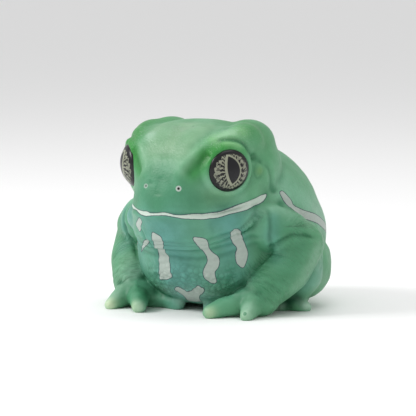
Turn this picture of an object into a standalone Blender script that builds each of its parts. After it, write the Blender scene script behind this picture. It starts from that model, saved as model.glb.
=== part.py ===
"""Sitting figure of a waxy monkey tree frog, about 96 mm tall, as sixteen closed solids.

The frog faces -Y, its left side is +X, and it sits on the floor at Z = 0.
Each part is modelled as clay: round masses are put together, merged to one closed
surface, smoothed and dented. Parts that meet are then cut back from each other.
Sizes are in millimetres and MM turns them into metres.
"""
import math

import bmesh
import bpy
import numpy as np
from mathutils import Euler, Matrix, Vector

MM = 0.001

# Driving dimensions
HEAD_TOP = 95.5
HEAD_Y = -3.0
SEAT_Y = 31.0
GAP = 0.32
CLAY_CELL = 1.1
SEAM = 0.001
EYE_RADIUS = 10.5
EYE_DOME = 4.9
EYE_BACK = 1.6
EYE_STEPS = 24
EYE_RINGS = 5
SKIN_ROUGHNESS = 0.5
EYE_ROUGHNESS = 0.25
BLEND_FACTOR = 0.5
BALL_SUBDIVISIONS = 3
BLOB_SUBDIVISIONS = 4

# Where each eye sits: its middle, and in degrees how far round to the frog's left it looks
# and how far down; the sculpted head holds its right eye a little further in and forward
EYE_PLACES = {
    "left": ((29.2, -22.0, 72.6), 54, 7),
    "right": ((-27.6, -22.2, 72.6), -46, 8),
}

# Triangles that each part is thinned to before its neighbours are cut out of it
TRIANGLES = {
    "head": 1750,
    "trunk": 1050,
    "upper_arm": 160,
    "forearm": 190,
    "hand": 420,
    "thigh": 150,
    "shank": 100,
    "foot": 260,
}

# Passes of smoothing that blend each part's masses
SMOOTHING = {
    "head": 24,
    "trunk": 60,
    "upper_arm": 6,
    "forearm": 8,
    "hand": 4,
    "thigh": 4,
    "shank": 6,
    "foot": 4,
}

COLOURS = {
    "head": (0.13, 0.36, 0.14),
    "trunk": (0.10, 0.32, 0.24),
    "upper_arm": (0.11, 0.31, 0.19),
    "forearm": (0.12, 0.33, 0.19),
    "hand": (0.15, 0.35, 0.20),
    "thigh": (0.11, 0.31, 0.20),
    "shank": (0.11, 0.31, 0.20),
    "foot": (0.15, 0.34, 0.22),
    "eye": (0.015, 0.015, 0.018),
}


# Masses
def blob(centre, radii, turn=(0, 0, 0), fullness=2.0):
    """A sphere stretched to radii and turned in degrees; fullness over 2 squares it."""
    mass = bmesh.new()
    bmesh.ops.create_icosphere(mass, subdivisions=BLOB_SUBDIVISIONS, radius=1.0)
    for vert in mass.verts:
        reach = sum(abs(c) ** fullness for c in vert.co) ** (1.0 / fullness)
        vert.co /= reach
    rotation = Euler([math.radians(a) for a in turn]).to_matrix().to_4x4()
    mass.transform(Matrix.Translation(centre) @ rotation @ Matrix.Diagonal((*radii, 1.0)))
    return mass


def limb(*stations):
    """Round lengths of flesh through (x, y, z, radius) stations."""
    ball = bmesh.new()
    bmesh.ops.create_icosphere(ball, subdivisions=BALL_SUBDIVISIONS, radius=1.0)
    directions = [vert.co.copy() for vert in ball.verts]
    ball.free()
    mass = bmesh.new()
    for ends in zip(stations, stations[1:]):
        points = [
            mass.verts.new(Vector((x, y, z)) + direction * radius)
            for x, y, z, radius in ends
            for direction in directions
        ]
        hull = bmesh.ops.convex_hull(mass, input=points)
        inner = [item for item in hull["geom_interior"] if isinstance(item, bmesh.types.BMVert)]
        bmesh.ops.delete(mass, geom=inner, context="VERTS")
    return mass


def mirrored(mass):
    """A copy of a mass on the other side of the middle plane."""
    twin = mass.copy()
    twin.transform(Matrix.Diagonal((-1.0, 1.0, 1.0, 1.0)))
    bmesh.ops.reverse_faces(twin, faces=twin.faces)
    return twin


def both_sides(masses):
    return masses + [mirrored(mass) for mass in masses]


# Parts of the body, the paired ones on the frog's left
def head_masses():
    skull_height = 21.5
    middle = [
        blob((0, HEAD_Y, HEAD_TOP - skull_height), (30, 30, skull_height), fullness=2.6),
        blob((0, -17.5, 58.5), (24, 24.4, 12.5), fullness=2.15),
        blob((0, -18, 70), (20, 20.5, 18)),
        blob((0, -13.5, 51), (26.5, 27.8, 9), fullness=2.15),
        blob((0, -6, 62), (31, 30, 16)),
    ]
    sides = [
        blob((13.5, 0, 61), (21.5, 25, 17)),
        blob((22, 8, 72), (16.3, 20, 17)),
        blob((22, 7.6, 82.6), (12.3, 18.6, 13.1), turn=(0, 14, 0)),
        blob((22.3, -17.3, 73.2), (15, 11.4, 13.8), turn=(0, 0, 53)),
        limb((26, -2, 85, 9.8), (24.6, -12, 84.2, 8.2), (17.5, -24, 80, 6.8), (11, -35, 68.5, 4.4)),
    ]
    return middle + both_sides(sides)


def trunk_masses():
    return [
        blob((0, 27.5, 42.5), (46.8, 45.6, 42.4)),
        blob((0, 31, 36), (47.8, 49.2, 38)),
        blob((0, 11, 29), (37, 36.5, 27.5), fullness=2.15),
        blob((0, -8, 43.5), (30.5, 30, 16)),
        blob((0, 6, 42), (36.5, 35, 25)),
    ]


def upper_arm_masses():
    return [limb((35, 4, 43.5, 12.2), (43.2, 11.5, 38.8, 12), (45.8, 15.5, 36, 11.2))]


def forearm_masses():
    return [limb((47, 17.5, 34, 12), (44.5, 8, 22, 12), (38.5, -3, 12, 10))]


def hand_masses():
    return [
        blob((34.5, -6, 8), (12, 10.5, 7.7), turn=(0, 0, 20)),
        limb((31, -11, 7.5, 5.6), (24, -20, 6, 4.5), (20.5, -25.8, 4, 3.6)),
        limb((37, -11, 7.8, 6.0), (38.4, -18, 4.9, 4.1), (39.4, -22.9, 3.1, 3.0)),
        limb((30, -6, 6, 4.8), (18, -4, 4.6, 4.0), (9.5, -6.8, 4.2, 3.8)),
    ]


def thigh_masses():
    return [blob((38.4, 36.5, 21), (13.7, 20, 17.2), turn=(0, 0, 16), fullness=2.1)]


def shank_masses():
    return [limb((46.5, 22.5, 29, 9.4), (46, 22, 18, 9.8), (41.2, 22, 9, 7.6))]


def foot_masses():
    return [
        limb((30, 46, 6, 6.4), (39.4, 24, 5.8, 5.8)),
        limb((39.4, 24, 5.8, 5.8), (38.4, 19, 4.4, 4.0), (37.8, 16.2, 3.4, 3.3)),
        limb((40.6, 22, 5.8, 5.8), (44.2, 18.2, 4.8, 3.7), (48.6, 21.2, 2.9, 2.8)),
        limb((38, 24, 5, 5), (30, 12, 3.2, 3.2)),
    ]


MASSES = {
    "head": head_masses,
    "trunk": trunk_masses,
    "upper_arm": upper_arm_masses,
    "forearm": forearm_masses,
    "hand": hand_masses,
    "thigh": thigh_masses,
    "shank": shank_masses,
    "foot": foot_masses,
}

# Dents and ridges: a path on the left, its half width and its depth; a minus stands out
DENTS = {
    "head": [
        ([(0, -14, 96), (0, -26, 89), (0, -35, 77)], 9.0, 1.8),
        ([(20, -34, 76), (17, -37, 69)], 5.0, 1.6),
    ],
}

# How far a part is pressed into the floor plane before it is cut flat there
SINK = {"hand": 1.2, "foot": 1.1}

# Planes that end a part: a point on each and the side that is kept
FLOOR = ((0, 0, 0), (0, 0, 1))
TRIMS = {
    "head": [
        ((0, -40, 45.5), (0, -0.12, 1)),
        ((0, 24, 70), (0, -1, 0.3)),
    ],
}

# The neighbours that each part is cut back from, in the order of cutting
CUT_BACK_FROM = {
    "forearm": ("hand",),
    "shank": ("foot", "forearm"),
    "head": ("eye",),
    "upper_arm": ("forearm", "head"),
    "thigh": ("upper_arm", "foot", "shank", "forearm"),
    "trunk": ("hand", "foot", "forearm", "shank", "thigh", "upper_arm", "head"),
}
MIDDLE = ("head", "trunk")


# Helpers
def new_object(name, mesh):
    thing = bpy.data.objects.new(name, mesh)
    bpy.context.scene.collection.objects.link(thing)
    return thing


def drop(thing):
    mesh = thing.data
    bpy.data.objects.remove(thing)
    bpy.data.meshes.remove(mesh)


def bake(thing):
    """Replace an object's mesh by what its modifiers make of it."""
    depsgraph = bpy.context.evaluated_depsgraph_get()
    mesh = bpy.data.meshes.new_from_object(thing.evaluated_get(depsgraph))
    old = thing.data
    thing.modifiers.clear()
    thing.data = mesh
    bpy.data.meshes.remove(old)


def merge(masses, name, passes):
    """Merge masses to one closed surface and blend them."""
    mesh = bpy.data.meshes.new(name)
    whole = bmesh.new()
    for mass in masses:
        mass.to_mesh(mesh)
        whole.from_mesh(mesh)
        mass.free()
    whole.transform(Matrix.Scale(MM, 4))
    whole.to_mesh(mesh)
    whole.free()
    thing = new_object(name, mesh)
    remesh = thing.modifiers.new("Merge", "REMESH")
    remesh.mode = "VOXEL"
    remesh.voxel_size = CLAY_CELL * MM
    smooth = thing.modifiers.new("Blend", "SMOOTH")
    smooth.factor = BLEND_FACTOR
    smooth.iterations = passes
    bake(thing)
    return thing


def distance_to_path(points, path):
    """Distance in mm from each point to a chain of straight lengths."""
    nearest = np.full(len(points), np.inf)
    for start, end in zip(path, path[1:]):
        start = np.array(start, dtype=float)
        along = np.array(end, dtype=float) - start
        share = np.clip((points - start) @ along / (along @ along), 0.0, 1.0)
        nearest = np.minimum(nearest, np.linalg.norm(points - start - share[:, None] * along, axis=1))
    return nearest


def dent(thing, path, width, depth):
    """Press a soft groove along a path and along its mirror image."""
    mesh = thing.data
    count = len(mesh.vertices)
    points = np.empty(count * 3)
    normals = np.empty(count * 3)
    mesh.vertices.foreach_get("co", points)
    mesh.vertices.foreach_get("normal", normals)
    points = points.reshape(-1, 3) / MM
    normals = normals.reshape(-1, 3)
    left = points * (-1, 1, 1)
    nearest = np.minimum(distance_to_path(points, path), distance_to_path(left, path))
    points -= normals * (depth * np.exp(-((nearest / width) ** 2)))[:, None]
    mesh.vertices.foreach_set("co", (points * MM).ravel())
    mesh.update()


def trim(thing, point, normal):
    """Cut a part flat at a plane and keep the side that the normal points to."""
    work = bmesh.new()
    work.from_mesh(thing.data)
    geometry = work.verts[:] + work.edges[:] + work.faces[:]
    cut = bmesh.ops.bisect_plane(
        work, geom=geometry, plane_co=Vector(point) * MM, plane_no=normal, clear_inner=True
    )
    rim = [item for item in cut["geom_cut"] if isinstance(item, bmesh.types.BMEdge)]
    bmesh.ops.holes_fill(work, edges=rim)
    work.to_mesh(thing.data)
    work.free()


def thin_out(thing, triangles, symmetric):
    """Collapse edges until a part has about the given number of triangles."""
    thing.modifiers.new("Triangles", "TRIANGULATE")
    bake(thing)
    collapse = thing.modifiers.new("Thin out", "DECIMATE")
    collapse.ratio = triangles / len(thing.data.polygons)
    collapse.use_collapse_triangulate = True
    bake(thing)
    if symmetric:
        make_symmetric(thing)


def make_symmetric(thing):
    """Make a part's right half the exact mirror image of its left half."""
    work = bmesh.new()
    work.from_mesh(thing.data)
    geometry = work.verts[:] + work.edges[:] + work.faces[:]
    bmesh.ops.symmetrize(work, input=geometry, direction="X", dist=SEAM * MM)
    bmesh.ops.triangulate(work, faces=work.faces)
    work.to_mesh(thing.data)
    work.free()


def tidy_cut(thing):
    """Drop the crumbs that a cut leaves beside a part."""
    work = bmesh.new()
    work.from_mesh(thing.data)
    unseen = set(work.verts)
    bodies = []
    while unseen:
        front = [unseen.pop()]
        body = set(front)
        while front:
            for edge in front.pop().link_edges:
                for vert in edge.verts:
                    if vert in unseen:
                        unseen.remove(vert)
                        body.add(vert)
                        front.append(vert)
        bodies.append(body)
    bodies.sort(key=len)
    crumbs = [vert for body in bodies[:-1] for vert in body]
    bmesh.ops.delete(work, geom=crumbs, context="VERTS")
    bmesh.ops.triangulate(work, faces=work.faces)
    work.to_mesh(thing.data)
    work.free()


def cut_back(thing, cutter):
    """Cut a neighbour's swollen copy out of a part."""
    cut = thing.modifiers.new("Cut", "BOOLEAN")
    cut.operation = "DIFFERENCE"
    cut.solver = "EXACT"
    cut.object = cutter
    bake(thing)
    tidy_cut(thing)


def swollen_copy(thing):
    """A cutter that is larger than a part by the gap."""
    cutter = new_object(thing.name + "_cutter", thing.data.copy())
    cutter.matrix_world = thing.matrix_world
    cutter.hide_render = True
    cutter.display_type = "WIRE"
    swell = cutter.modifiers.new("Gap", "DISPLACE")
    swell.mid_level = 0.0
    swell.strength = GAP * MM
    bpy.context.view_layer.update()
    bake(cutter)
    return cutter


# Making
def make_part(name):
    """Model one part of flesh, before its neighbours are cut out."""
    thing = merge(MASSES[name](), name, SMOOTHING[name])
    for path, width, depth in DENTS.get(name, []):
        dent(thing, path, width, depth)
    thing.data.transform(Matrix.Translation((0, 0, -SINK.get(name, 0) * MM)))
    for point, normal in [FLOOR] + TRIMS.get(name, []):
        trim(thing, point, normal)
    thin_out(thing, TRIANGLES[name], symmetric=name in MIDDLE)
    trim(thing, *FLOOR)
    return thing


def make_eye(centre, outward, down):
    """A domed disc, spun round its axis and set in the side of the head."""
    ball_radius = (EYE_RADIUS**2 + EYE_DOME**2) / (2 * EYE_DOME)
    rim_angle = math.asin(EYE_RADIUS / ball_radius)
    work = bmesh.new()
    profile = [work.verts.new((0, -EYE_BACK, 0)), work.verts.new((EYE_RADIUS, -EYE_BACK, 0))]
    for ring in range(EYE_RINGS + 1):
        angle = rim_angle * (1 - ring / EYE_RINGS)
        height = EYE_DOME - ball_radius * (1 - math.cos(angle))
        profile.append(work.verts.new((ball_radius * math.sin(angle), height, 0)))
    edges = [work.edges.new(pair) for pair in zip(profile, profile[1:])]
    bmesh.ops.spin(
        work, geom=profile + edges, cent=(0, 0, 0), axis=(0, 1, 0), angle=math.tau,
        steps=EYE_STEPS, use_merge=True,
    )
    bmesh.ops.remove_doubles(work, verts=work.verts, dist=SEAM)
    bmesh.ops.recalc_face_normals(work, faces=work.faces)
    work.transform(Matrix.Scale(MM, 4))
    mesh = bpy.data.meshes.new("eye")
    work.to_mesh(mesh)
    work.free()
    eye = new_object("eye", mesh)
    eye.location = Vector(centre) * MM
    eye.rotation_euler = (-math.radians(down), 0, math.radians(outward - 180))
    bpy.context.view_layer.update()
    return eye


def mirror_to_right(left, name):
    """A mirror copy of a finished left part."""
    mesh = left.data.copy()
    flip = Matrix.Diagonal((-1.0, 1.0, 1.0, 1.0))
    mesh.transform(flip @ left.matrix_world)
    mesh.flip_normals()
    return new_object(name, mesh)


def put_on_seat():
    """Move the figure so that the middle of the flat under its belly is the origin."""
    figure = bpy.data.objects.new("frog", None)
    figure.location = (0, -SEAT_Y * MM, 0)
    bpy.context.scene.collection.objects.link(figure)
    for thing in bpy.data.objects:
        if thing is not figure:
            thing.parent = figure


def paint(thing, part):
    """Give a part its own plain material."""
    material = bpy.data.materials.new(thing.name)
    material.use_nodes = True
    surface = material.node_tree.nodes["Principled BSDF"]
    surface.inputs["Base Color"].default_value = (*COLOURS[part], 1.0)
    surface.inputs["Roughness"].default_value = EYE_ROUGHNESS if part == "eye" else SKIN_ROUGHNESS
    surface.inputs["Metallic"].default_value = 0.0
    thing.data.materials.clear()
    thing.data.materials.append(material)


def clear_scene():
    for thing in list(bpy.data.objects):
        bpy.data.objects.remove(thing)


def main():
    clear_scene()
    eyes = {side: make_eye(*place) for side, place in EYE_PLACES.items()}
    parts = {name: make_part(name) for name in MASSES}
    cutters = {"eye": [swollen_copy(eye) for eye in eyes.values()]}
    for name, part in parts.items():
        left = swollen_copy(part)
        cutters[name] = [left]
        if name not in MIDDLE:
            cutters[name].append(mirror_to_right(left, name + "_twin_cutter"))
    for name, neighbours in CUT_BACK_FROM.items():
        for neighbour in neighbours:
            sides = cutters[neighbour] if name in MIDDLE else cutters[neighbour][:1]
            for cutter in sides:
                cut_back(parts[name], cutter)
    for cutter in sum(cutters.values(), []):
        drop(cutter)
    for side, eye in eyes.items():
        eye.name = "eye_" + side
        paint(eye, "eye")
    for name, part in parts.items():
        if name in MIDDLE:
            part.name = name
            paint(part, name)
            continue
        right = mirror_to_right(part, name + "_right")
        part.name = name + "_left"
        paint(part, name)
        paint(right, name)
    put_on_seat()


main()
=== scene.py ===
"""The looks of a sitting waxy monkey tree frog figure, laid out as an add-on.

One skin takes the place of the figure's parts of flesh, and two domed eyes sit in it.
The frog faces -Y and its left side is +X. Lengths in the tables are millimetres, and MM
turns them into metres.
"""
import math

import bmesh
import bpy
import numpy as np
from mathutils import Matrix, Vector
from mathutils.bvhtree import BVHTree


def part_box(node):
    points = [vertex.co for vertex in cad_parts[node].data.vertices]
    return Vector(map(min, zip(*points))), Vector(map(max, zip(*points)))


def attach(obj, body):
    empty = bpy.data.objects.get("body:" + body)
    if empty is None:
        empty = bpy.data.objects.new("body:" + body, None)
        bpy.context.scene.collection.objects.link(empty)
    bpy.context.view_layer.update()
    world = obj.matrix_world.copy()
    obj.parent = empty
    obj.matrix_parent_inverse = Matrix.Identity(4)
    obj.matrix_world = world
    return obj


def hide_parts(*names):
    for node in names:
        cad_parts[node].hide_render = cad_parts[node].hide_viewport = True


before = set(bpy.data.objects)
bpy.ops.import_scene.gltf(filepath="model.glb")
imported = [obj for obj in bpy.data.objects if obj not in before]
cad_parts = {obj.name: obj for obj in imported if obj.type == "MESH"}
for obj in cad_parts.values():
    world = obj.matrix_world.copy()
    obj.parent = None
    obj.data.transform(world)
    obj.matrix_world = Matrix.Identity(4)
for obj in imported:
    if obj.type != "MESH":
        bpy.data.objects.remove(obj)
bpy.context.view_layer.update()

bl_info = {
    "name": "Sitting Tree Frog",
    "version": (1, 0, 0),
    "blender": (4, 5, 0),
    "location": "View3D > Sidebar > Frog",
    "description": "Makes the skin, eyes and stage of a painted tree frog figure",
    "category": "Add Mesh",
}

MM = 0.001
BODY = "root"
EYES = ("eye_left", "eye_right")
FLESH = tuple(sorted(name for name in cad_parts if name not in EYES))
FINE_PARTS = ("hand_left", "hand_right", "foot_left", "foot_right")

# Each eye: the middle of its rim, and in degrees how far it looks to the side and down
EYE_PLACES = {
    "eye_left": ((29.2, -53.0, 72.6), 54, 7),
    "eye_right": ((-27.6, -53.2, 72.6), -46, 8),
}
EYE_RADIUS = 10.5
EYE_DOME = 4.9
EYE_BACK = 1.6
EYE_BALL = (EYE_RADIUS**2 + EYE_DOME**2) / (2 * EYE_DOME)
EYE_RINGS = 30
EYE_SIDES = 96
# Width of the square that an eye's UV map covers
EYE_MAP = 24.0

# Points of a CAD node that lie closer than this are one point
SAME_PLACE = 0.001

# How often the skin is smoothed: all of it, then the face, and all of it at the end
SMOOTHING_PASSES = 36
FACE_PASSES = 380
LAST_PASSES = 3
# How strongly: on fingers and toes, on the rest, and the gap over which that changes
FINE_SMOOTHING = 0.12
FULL_SMOOTHING = 0.5
SMOOTHING_CHANGE = (0.4, 3.0)
# That gap is measured for points this close to the box round such a part
FINE_MARGIN = 2.0
# The face lies ahead of, above and between these distances, each with a soft edge
FACE_AHEAD = (38.0, 46.0)
FACE_ABOVE = (49.0, 56.0)
FACE_BESIDE = (16.0, 24.0)
# Only the rear, behind this y, is thinned out
REAR_START = -30.0


def colour_setting(name, description, value):
    return bpy.props.FloatVectorProperty(
        name=name, description=description, default=value, subtype="COLOR",
        size=3, min=0.0, max=1.0,
    )


def length_setting(name, description, value):
    """A length whose default is given in millimetres."""
    return bpy.props.FloatProperty(
        name=name, description=description, default=value * MM, unit="LENGTH", precision=5,
    )


# Sizes and colours that a user may change
class FrogStageSettings(bpy.types.PropertyGroup):
    azimuth: bpy.props.FloatProperty(
        name="Azimuth", description="How far round to the frog's left the camera stands",
        default=math.radians(31.0), subtype="ANGLE",
    )
    elevation: bpy.props.FloatProperty(
        name="Elevation", description="How high the camera stands over the horizon",
        default=math.radians(5.8), subtype="ANGLE",
    )
    distance: bpy.props.FloatProperty(
        name="Distance", description="From the camera to the point it looks at",
        default=1.32, unit="LENGTH",
    )
    lens: bpy.props.FloatProperty(
        name="Lens", description="Focal length in millimetres", default=228.5,
    )
    ambient: bpy.props.FloatProperty(
        name="Ambient", description="Strength of the even light from all sides", default=0.74,
    )
    aim: bpy.props.FloatVectorProperty(
        name="Aim", description="The point that the camera looks at",
        default=(0.0030, -0.0292, 0.0509), subtype="XYZ", unit="LENGTH",
    )


class FrogSkinSettings(bpy.types.PropertyGroup):
    cell: length_setting("Cell", "Size of the skin's faces", 0.7)
    seam_fill: length_setting("Seam Fill", "How far parts swell to close the cuts", 0.3)
    triangles: bpy.props.IntProperty(
        name="Triangles", description="Most triangles that the skin may have", default=192000,
    )
    cobble_size: length_setting("Cobble Size", "Width of the belly's low round bumps", 2.7)
    cobble_height: length_setting("Cobble Height", "Height of the belly's bumps", 0.7)
    unevenness: length_setting("Unevenness", "Height of the hand-modelled unevenness", 0.16)
    grain: length_setting("Grain", "Height of the skin's finest grain", 0.16)
    roughness: bpy.props.FloatProperty(
        name="Roughness", description="How dull the painted skin is",
        default=0.43, min=0.0, max=1.0, subtype="FACTOR",
    )


class FrogPaintSettings(bpy.types.PropertyGroup):
    green: colour_setting("Green", "Base colour of the body", (0.100, 0.308, 0.158))
    leaf: colour_setting("Leaf", "Deep green before and above the eyes", (0.004, 0.19, 0.006))
    # Painted highlight on the near brow and the lid above the near eye
    highlight_lime: colour_setting("Lime", "Bright green on the brows", (0.215, 0.50, 0.20))
    mint: colour_setting("Mint", "Pale green of the back's lower edge", (0.175, 0.405, 0.262))
    frost: colour_setting("Frost", "Greyish green of the forehead", (0.20, 0.358, 0.208))
    teal: colour_setting("Teal", "Blue green of the throat and belly", (0.086, 0.275, 0.232))
    moss: colour_setting("Moss", "Dark green of the snout and arms", (0.046, 0.210, 0.105))
    # Pale paint on finger and toe ends, and painted highlight on ridges, knuckles, edges and glint
    # speckles
    pale_and_highlight: colour_setting("Haze", "Pale dusting on knuckles, edges and toes", (0.34, 0.52, 0.40))
    cream: colour_setting("Cream", "Pale ends of the fingers and toes", (0.62, 0.70, 0.46))
    # Painted shade: what the deepest folds keep of each paint
    crease: colour_setting("Crease", "What folds leave of their paint", (0.22, 0.52, 0.42))
    # Painted shade under the limbs, along the arm's fold, in pinholes and in cobble seams
    painted_shade: colour_setting("Dusk", "Deep shade under limbs and in pinholes", (0.008, 0.07, 0.035))
    marking: colour_setting("Marking", "Pale chest marks and flank stripes", (0.42, 0.49, 0.44))
    lip: colour_setting("Lip", "Pale band along the mouth", (0.56, 0.66, 0.58))
    olive: colour_setting("Olive", "Brownish green of the ear discs", (0.105, 0.235, 0.06))
    outline: colour_setting("Outline", "Thin line round the marks", (0.030, 0.062, 0.075))


class FrogEyeSettings(bpy.types.PropertyGroup):
    iris: colour_setting("Iris", "Pale part of the eyes", (0.32, 0.335, 0.235))
    pupil: colour_setting("Pupil", "Upright pupil", (0.005, 0.005, 0.007))
    rim: colour_setting("Rim", "Black ring round each eye", (0.004, 0.004, 0.005))
    tooth_count: bpy.props.IntProperty(
        name="Teeth", description="Dark teeth round the pupil's pale ring", default=24,
    )


# Masses and meshes
def blob(centre, radii):
    """A sphere stretched to three radii."""
    mass = bmesh.new()
    bmesh.ops.create_icosphere(mass, subdivisions=5, radius=1.0)
    mass.transform(Matrix.Translation(centre) @ Matrix.Diagonal((*radii, 1.0)))
    return mass


def mirrored(mass):
    """A copy of a mass on the frog's right side."""
    twin = mass.copy()
    twin.transform(Matrix.Diagonal((-1.0, 1.0, 1.0, 1.0)))
    bmesh.ops.reverse_faces(twin, faces=twin.faces)
    return twin


def node_mass(name, swell):
    """A CAD node as a closed mass in millimetres, swollen along its normals or shrunk."""
    mass = bmesh.new()
    mass.from_mesh(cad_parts[name].data)
    bmesh.ops.remove_doubles(mass, verts=mass.verts, dist=SAME_PLACE * MM)
    mass.transform(Matrix.Scale(1.0 / MM, 4))
    mass.normal_update()
    for vert in mass.verts:
        vert.co += vert.normal * swell
    return mass


# Soft masses that fill the neck under the head: one in the middle, and one on each side
FILL_MIDDLE = ((0, -40, 47), (29, 30.5, 12))
FILL_SIDE = ((17, -33, 47), (19, 27, 12))


def merge_flesh(settings):
    """One closed surface round every part of flesh."""
    masses = [node_mass(name, settings.seam_fill / MM) for name in FLESH]
    masses += [node_mass(name, -settings.seam_fill / MM) for name in EYES]
    masses += [blob(*FILL_MIDDLE), blob(*FILL_SIDE), mirrored(blob(*FILL_SIDE))]
    mesh = bpy.data.meshes.new("skin")
    whole = bmesh.new()
    for mass in masses:
        mass.to_mesh(mesh)
        whole.from_mesh(mesh)
        mass.free()
    whole.transform(Matrix.Scale(MM, 4))
    whole.to_mesh(mesh)
    whole.free()
    skin = link("skin", mesh)
    remesh = skin.modifiers.new("Merge", "REMESH")
    remesh.mode = "VOXEL"
    remesh.voxel_size = settings.cell
    make_real(skin)
    return skin


def link(name, data):
    thing = bpy.data.objects.new(name, data)
    bpy.context.scene.collection.objects.link(thing)
    return thing


def make_real(thing):
    """Replace an object's mesh by what its modifiers make of it."""
    depsgraph = bpy.context.evaluated_depsgraph_get()
    mesh = bpy.data.meshes.new_from_object(thing.evaluated_get(depsgraph))
    old = thing.data
    thing.modifiers.clear()
    thing.data = mesh
    bpy.data.meshes.remove(old)


def outer_body(thing):
    """Keep only the largest closed surface of a mesh."""
    work = bmesh.new()
    work.from_mesh(thing.data)
    unseen = set(work.verts)
    bodies = []
    while unseen:
        front = [unseen.pop()]
        body = set(front)
        while front:
            for edge in front.pop().link_edges:
                for vert in edge.verts:
                    if vert in unseen:
                        unseen.remove(vert)
                        body.add(vert)
                        front.append(vert)
        bodies.append(body)
    bodies.sort(key=len)
    inner = [vert for body in bodies[:-1] for vert in body]
    bmesh.ops.delete(work, geom=inner, context="VERTS")
    work.to_mesh(thing.data)
    work.free()


def thin_out(thing, most):
    """Merge faces of the rear until no more than so many triangles are left."""
    thing.data.calc_loop_triangles()
    count = len(thing.data.loop_triangles)
    if count > most:
        rear = thing.vertex_groups.new(name="rear")
        behind = np.flatnonzero(read_points(thing.data)[:, 1] > REAR_START * MM)
        rear.add(behind.tolist(), 1.0, "REPLACE")
        decimate = thing.modifiers.new("Thin Out", "DECIMATE")
        decimate.ratio = most / count
        decimate.vertex_group = rear.name
        make_real(thing)
        thing.vertex_groups.clear()


def read_points(mesh, kind="co"):
    values = np.empty(len(mesh.vertices) * 3, np.float32)
    mesh.vertices.foreach_get(kind, values)
    return values.reshape(-1, 3).astype(float)


def write_points(mesh, points):
    mesh.vertices.foreach_set("co", points.astype(np.float32).ravel())
    mesh.update()


def write_attribute(mesh, name, values):
    """Numbers, or colours of three parts, kept on a mesh's points."""
    if values.ndim == 1:
        attribute = mesh.attributes.new(name, "FLOAT", "POINT")
        attribute.data.foreach_set("value", values.astype(np.float32))
        return
    full = np.ones((len(values), 4), np.float32)
    full[:, :3] = values
    attribute = mesh.attributes.new(name, "FLOAT_COLOR", "POINT")
    attribute.data.foreach_set("color", full.ravel())


def read_edges(mesh):
    edges = np.empty(len(mesh.edges) * 2, np.int32)
    mesh.edges.foreach_get("vertices", edges)
    return edges.reshape(-1, 2)


def relax(values, edges, strength, passes):
    """Move each point's values towards the mean of its neighbours, a few times."""
    count = len(values)
    ends, starts = edges[:, 0], edges[:, 1]
    degree = np.maximum(np.bincount(edges.ravel(), minlength=count), 1)[:, None]
    values = values.copy()
    for _ in range(passes):
        total = np.stack(
            [
                np.bincount(ends, column[starts], count) + np.bincount(starts, column[ends], count)
                for column in values.T
            ],
            axis=1,
        )
        values += strength[:, None] * (total / degree - values)
    return values


def smooth_in_place(points, edges, strength, passes):
    """Smooth without shrinking: what the first smoothing takes away is smoothed and given back."""
    soft = relax(points, edges, strength, passes)
    return soft + relax(points - soft, edges, strength, passes)


def smoothing_strength(points):
    """How strongly each point is smoothed: the thin fingers and toes less than the rest."""
    gap = np.full(len(points), np.inf)
    for name in FINE_PARTS:
        mass = node_mass(name, 0.0)
        tree = BVHTree.FromBMesh(mass)
        mass.free()
        low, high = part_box(name)
        low, high = np.array(low) / MM - FINE_MARGIN, np.array(high) / MM + FINE_MARGIN
        near = np.flatnonzero(((points > low) & (points < high)).all(axis=1))
        found = [tree.find_nearest(place)[3] for place in points[near].tolist()]
        gap[near] = np.minimum(gap[near], found)
    return FINE_SMOOTHING + (FULL_SMOOTHING - FINE_SMOOTHING) * ease(gap, *SMOOTHING_CHANGE)


def smooth_face(points, edges):
    """Take the last steps out of the forehead and snout, between the brows."""
    weight = ease(-points[:, 1], *FACE_AHEAD) * ease(points[:, 2], *FACE_ABOVE)
    weight *= 1 - ease(np.abs(points[:, 0]), *FACE_BESIDE)
    chosen = np.flatnonzero(weight > 0.0)
    number = np.full(len(points), -1)
    number[chosen] = np.arange(len(chosen))
    inner = edges[(weight[edges] > 0.0).all(axis=1)]
    points = points.copy()
    points[chosen] = smooth_in_place(
        points[chosen], number[inner], FULL_SMOOTHING * weight[chosen], FACE_PASSES
    )
    return points


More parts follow.
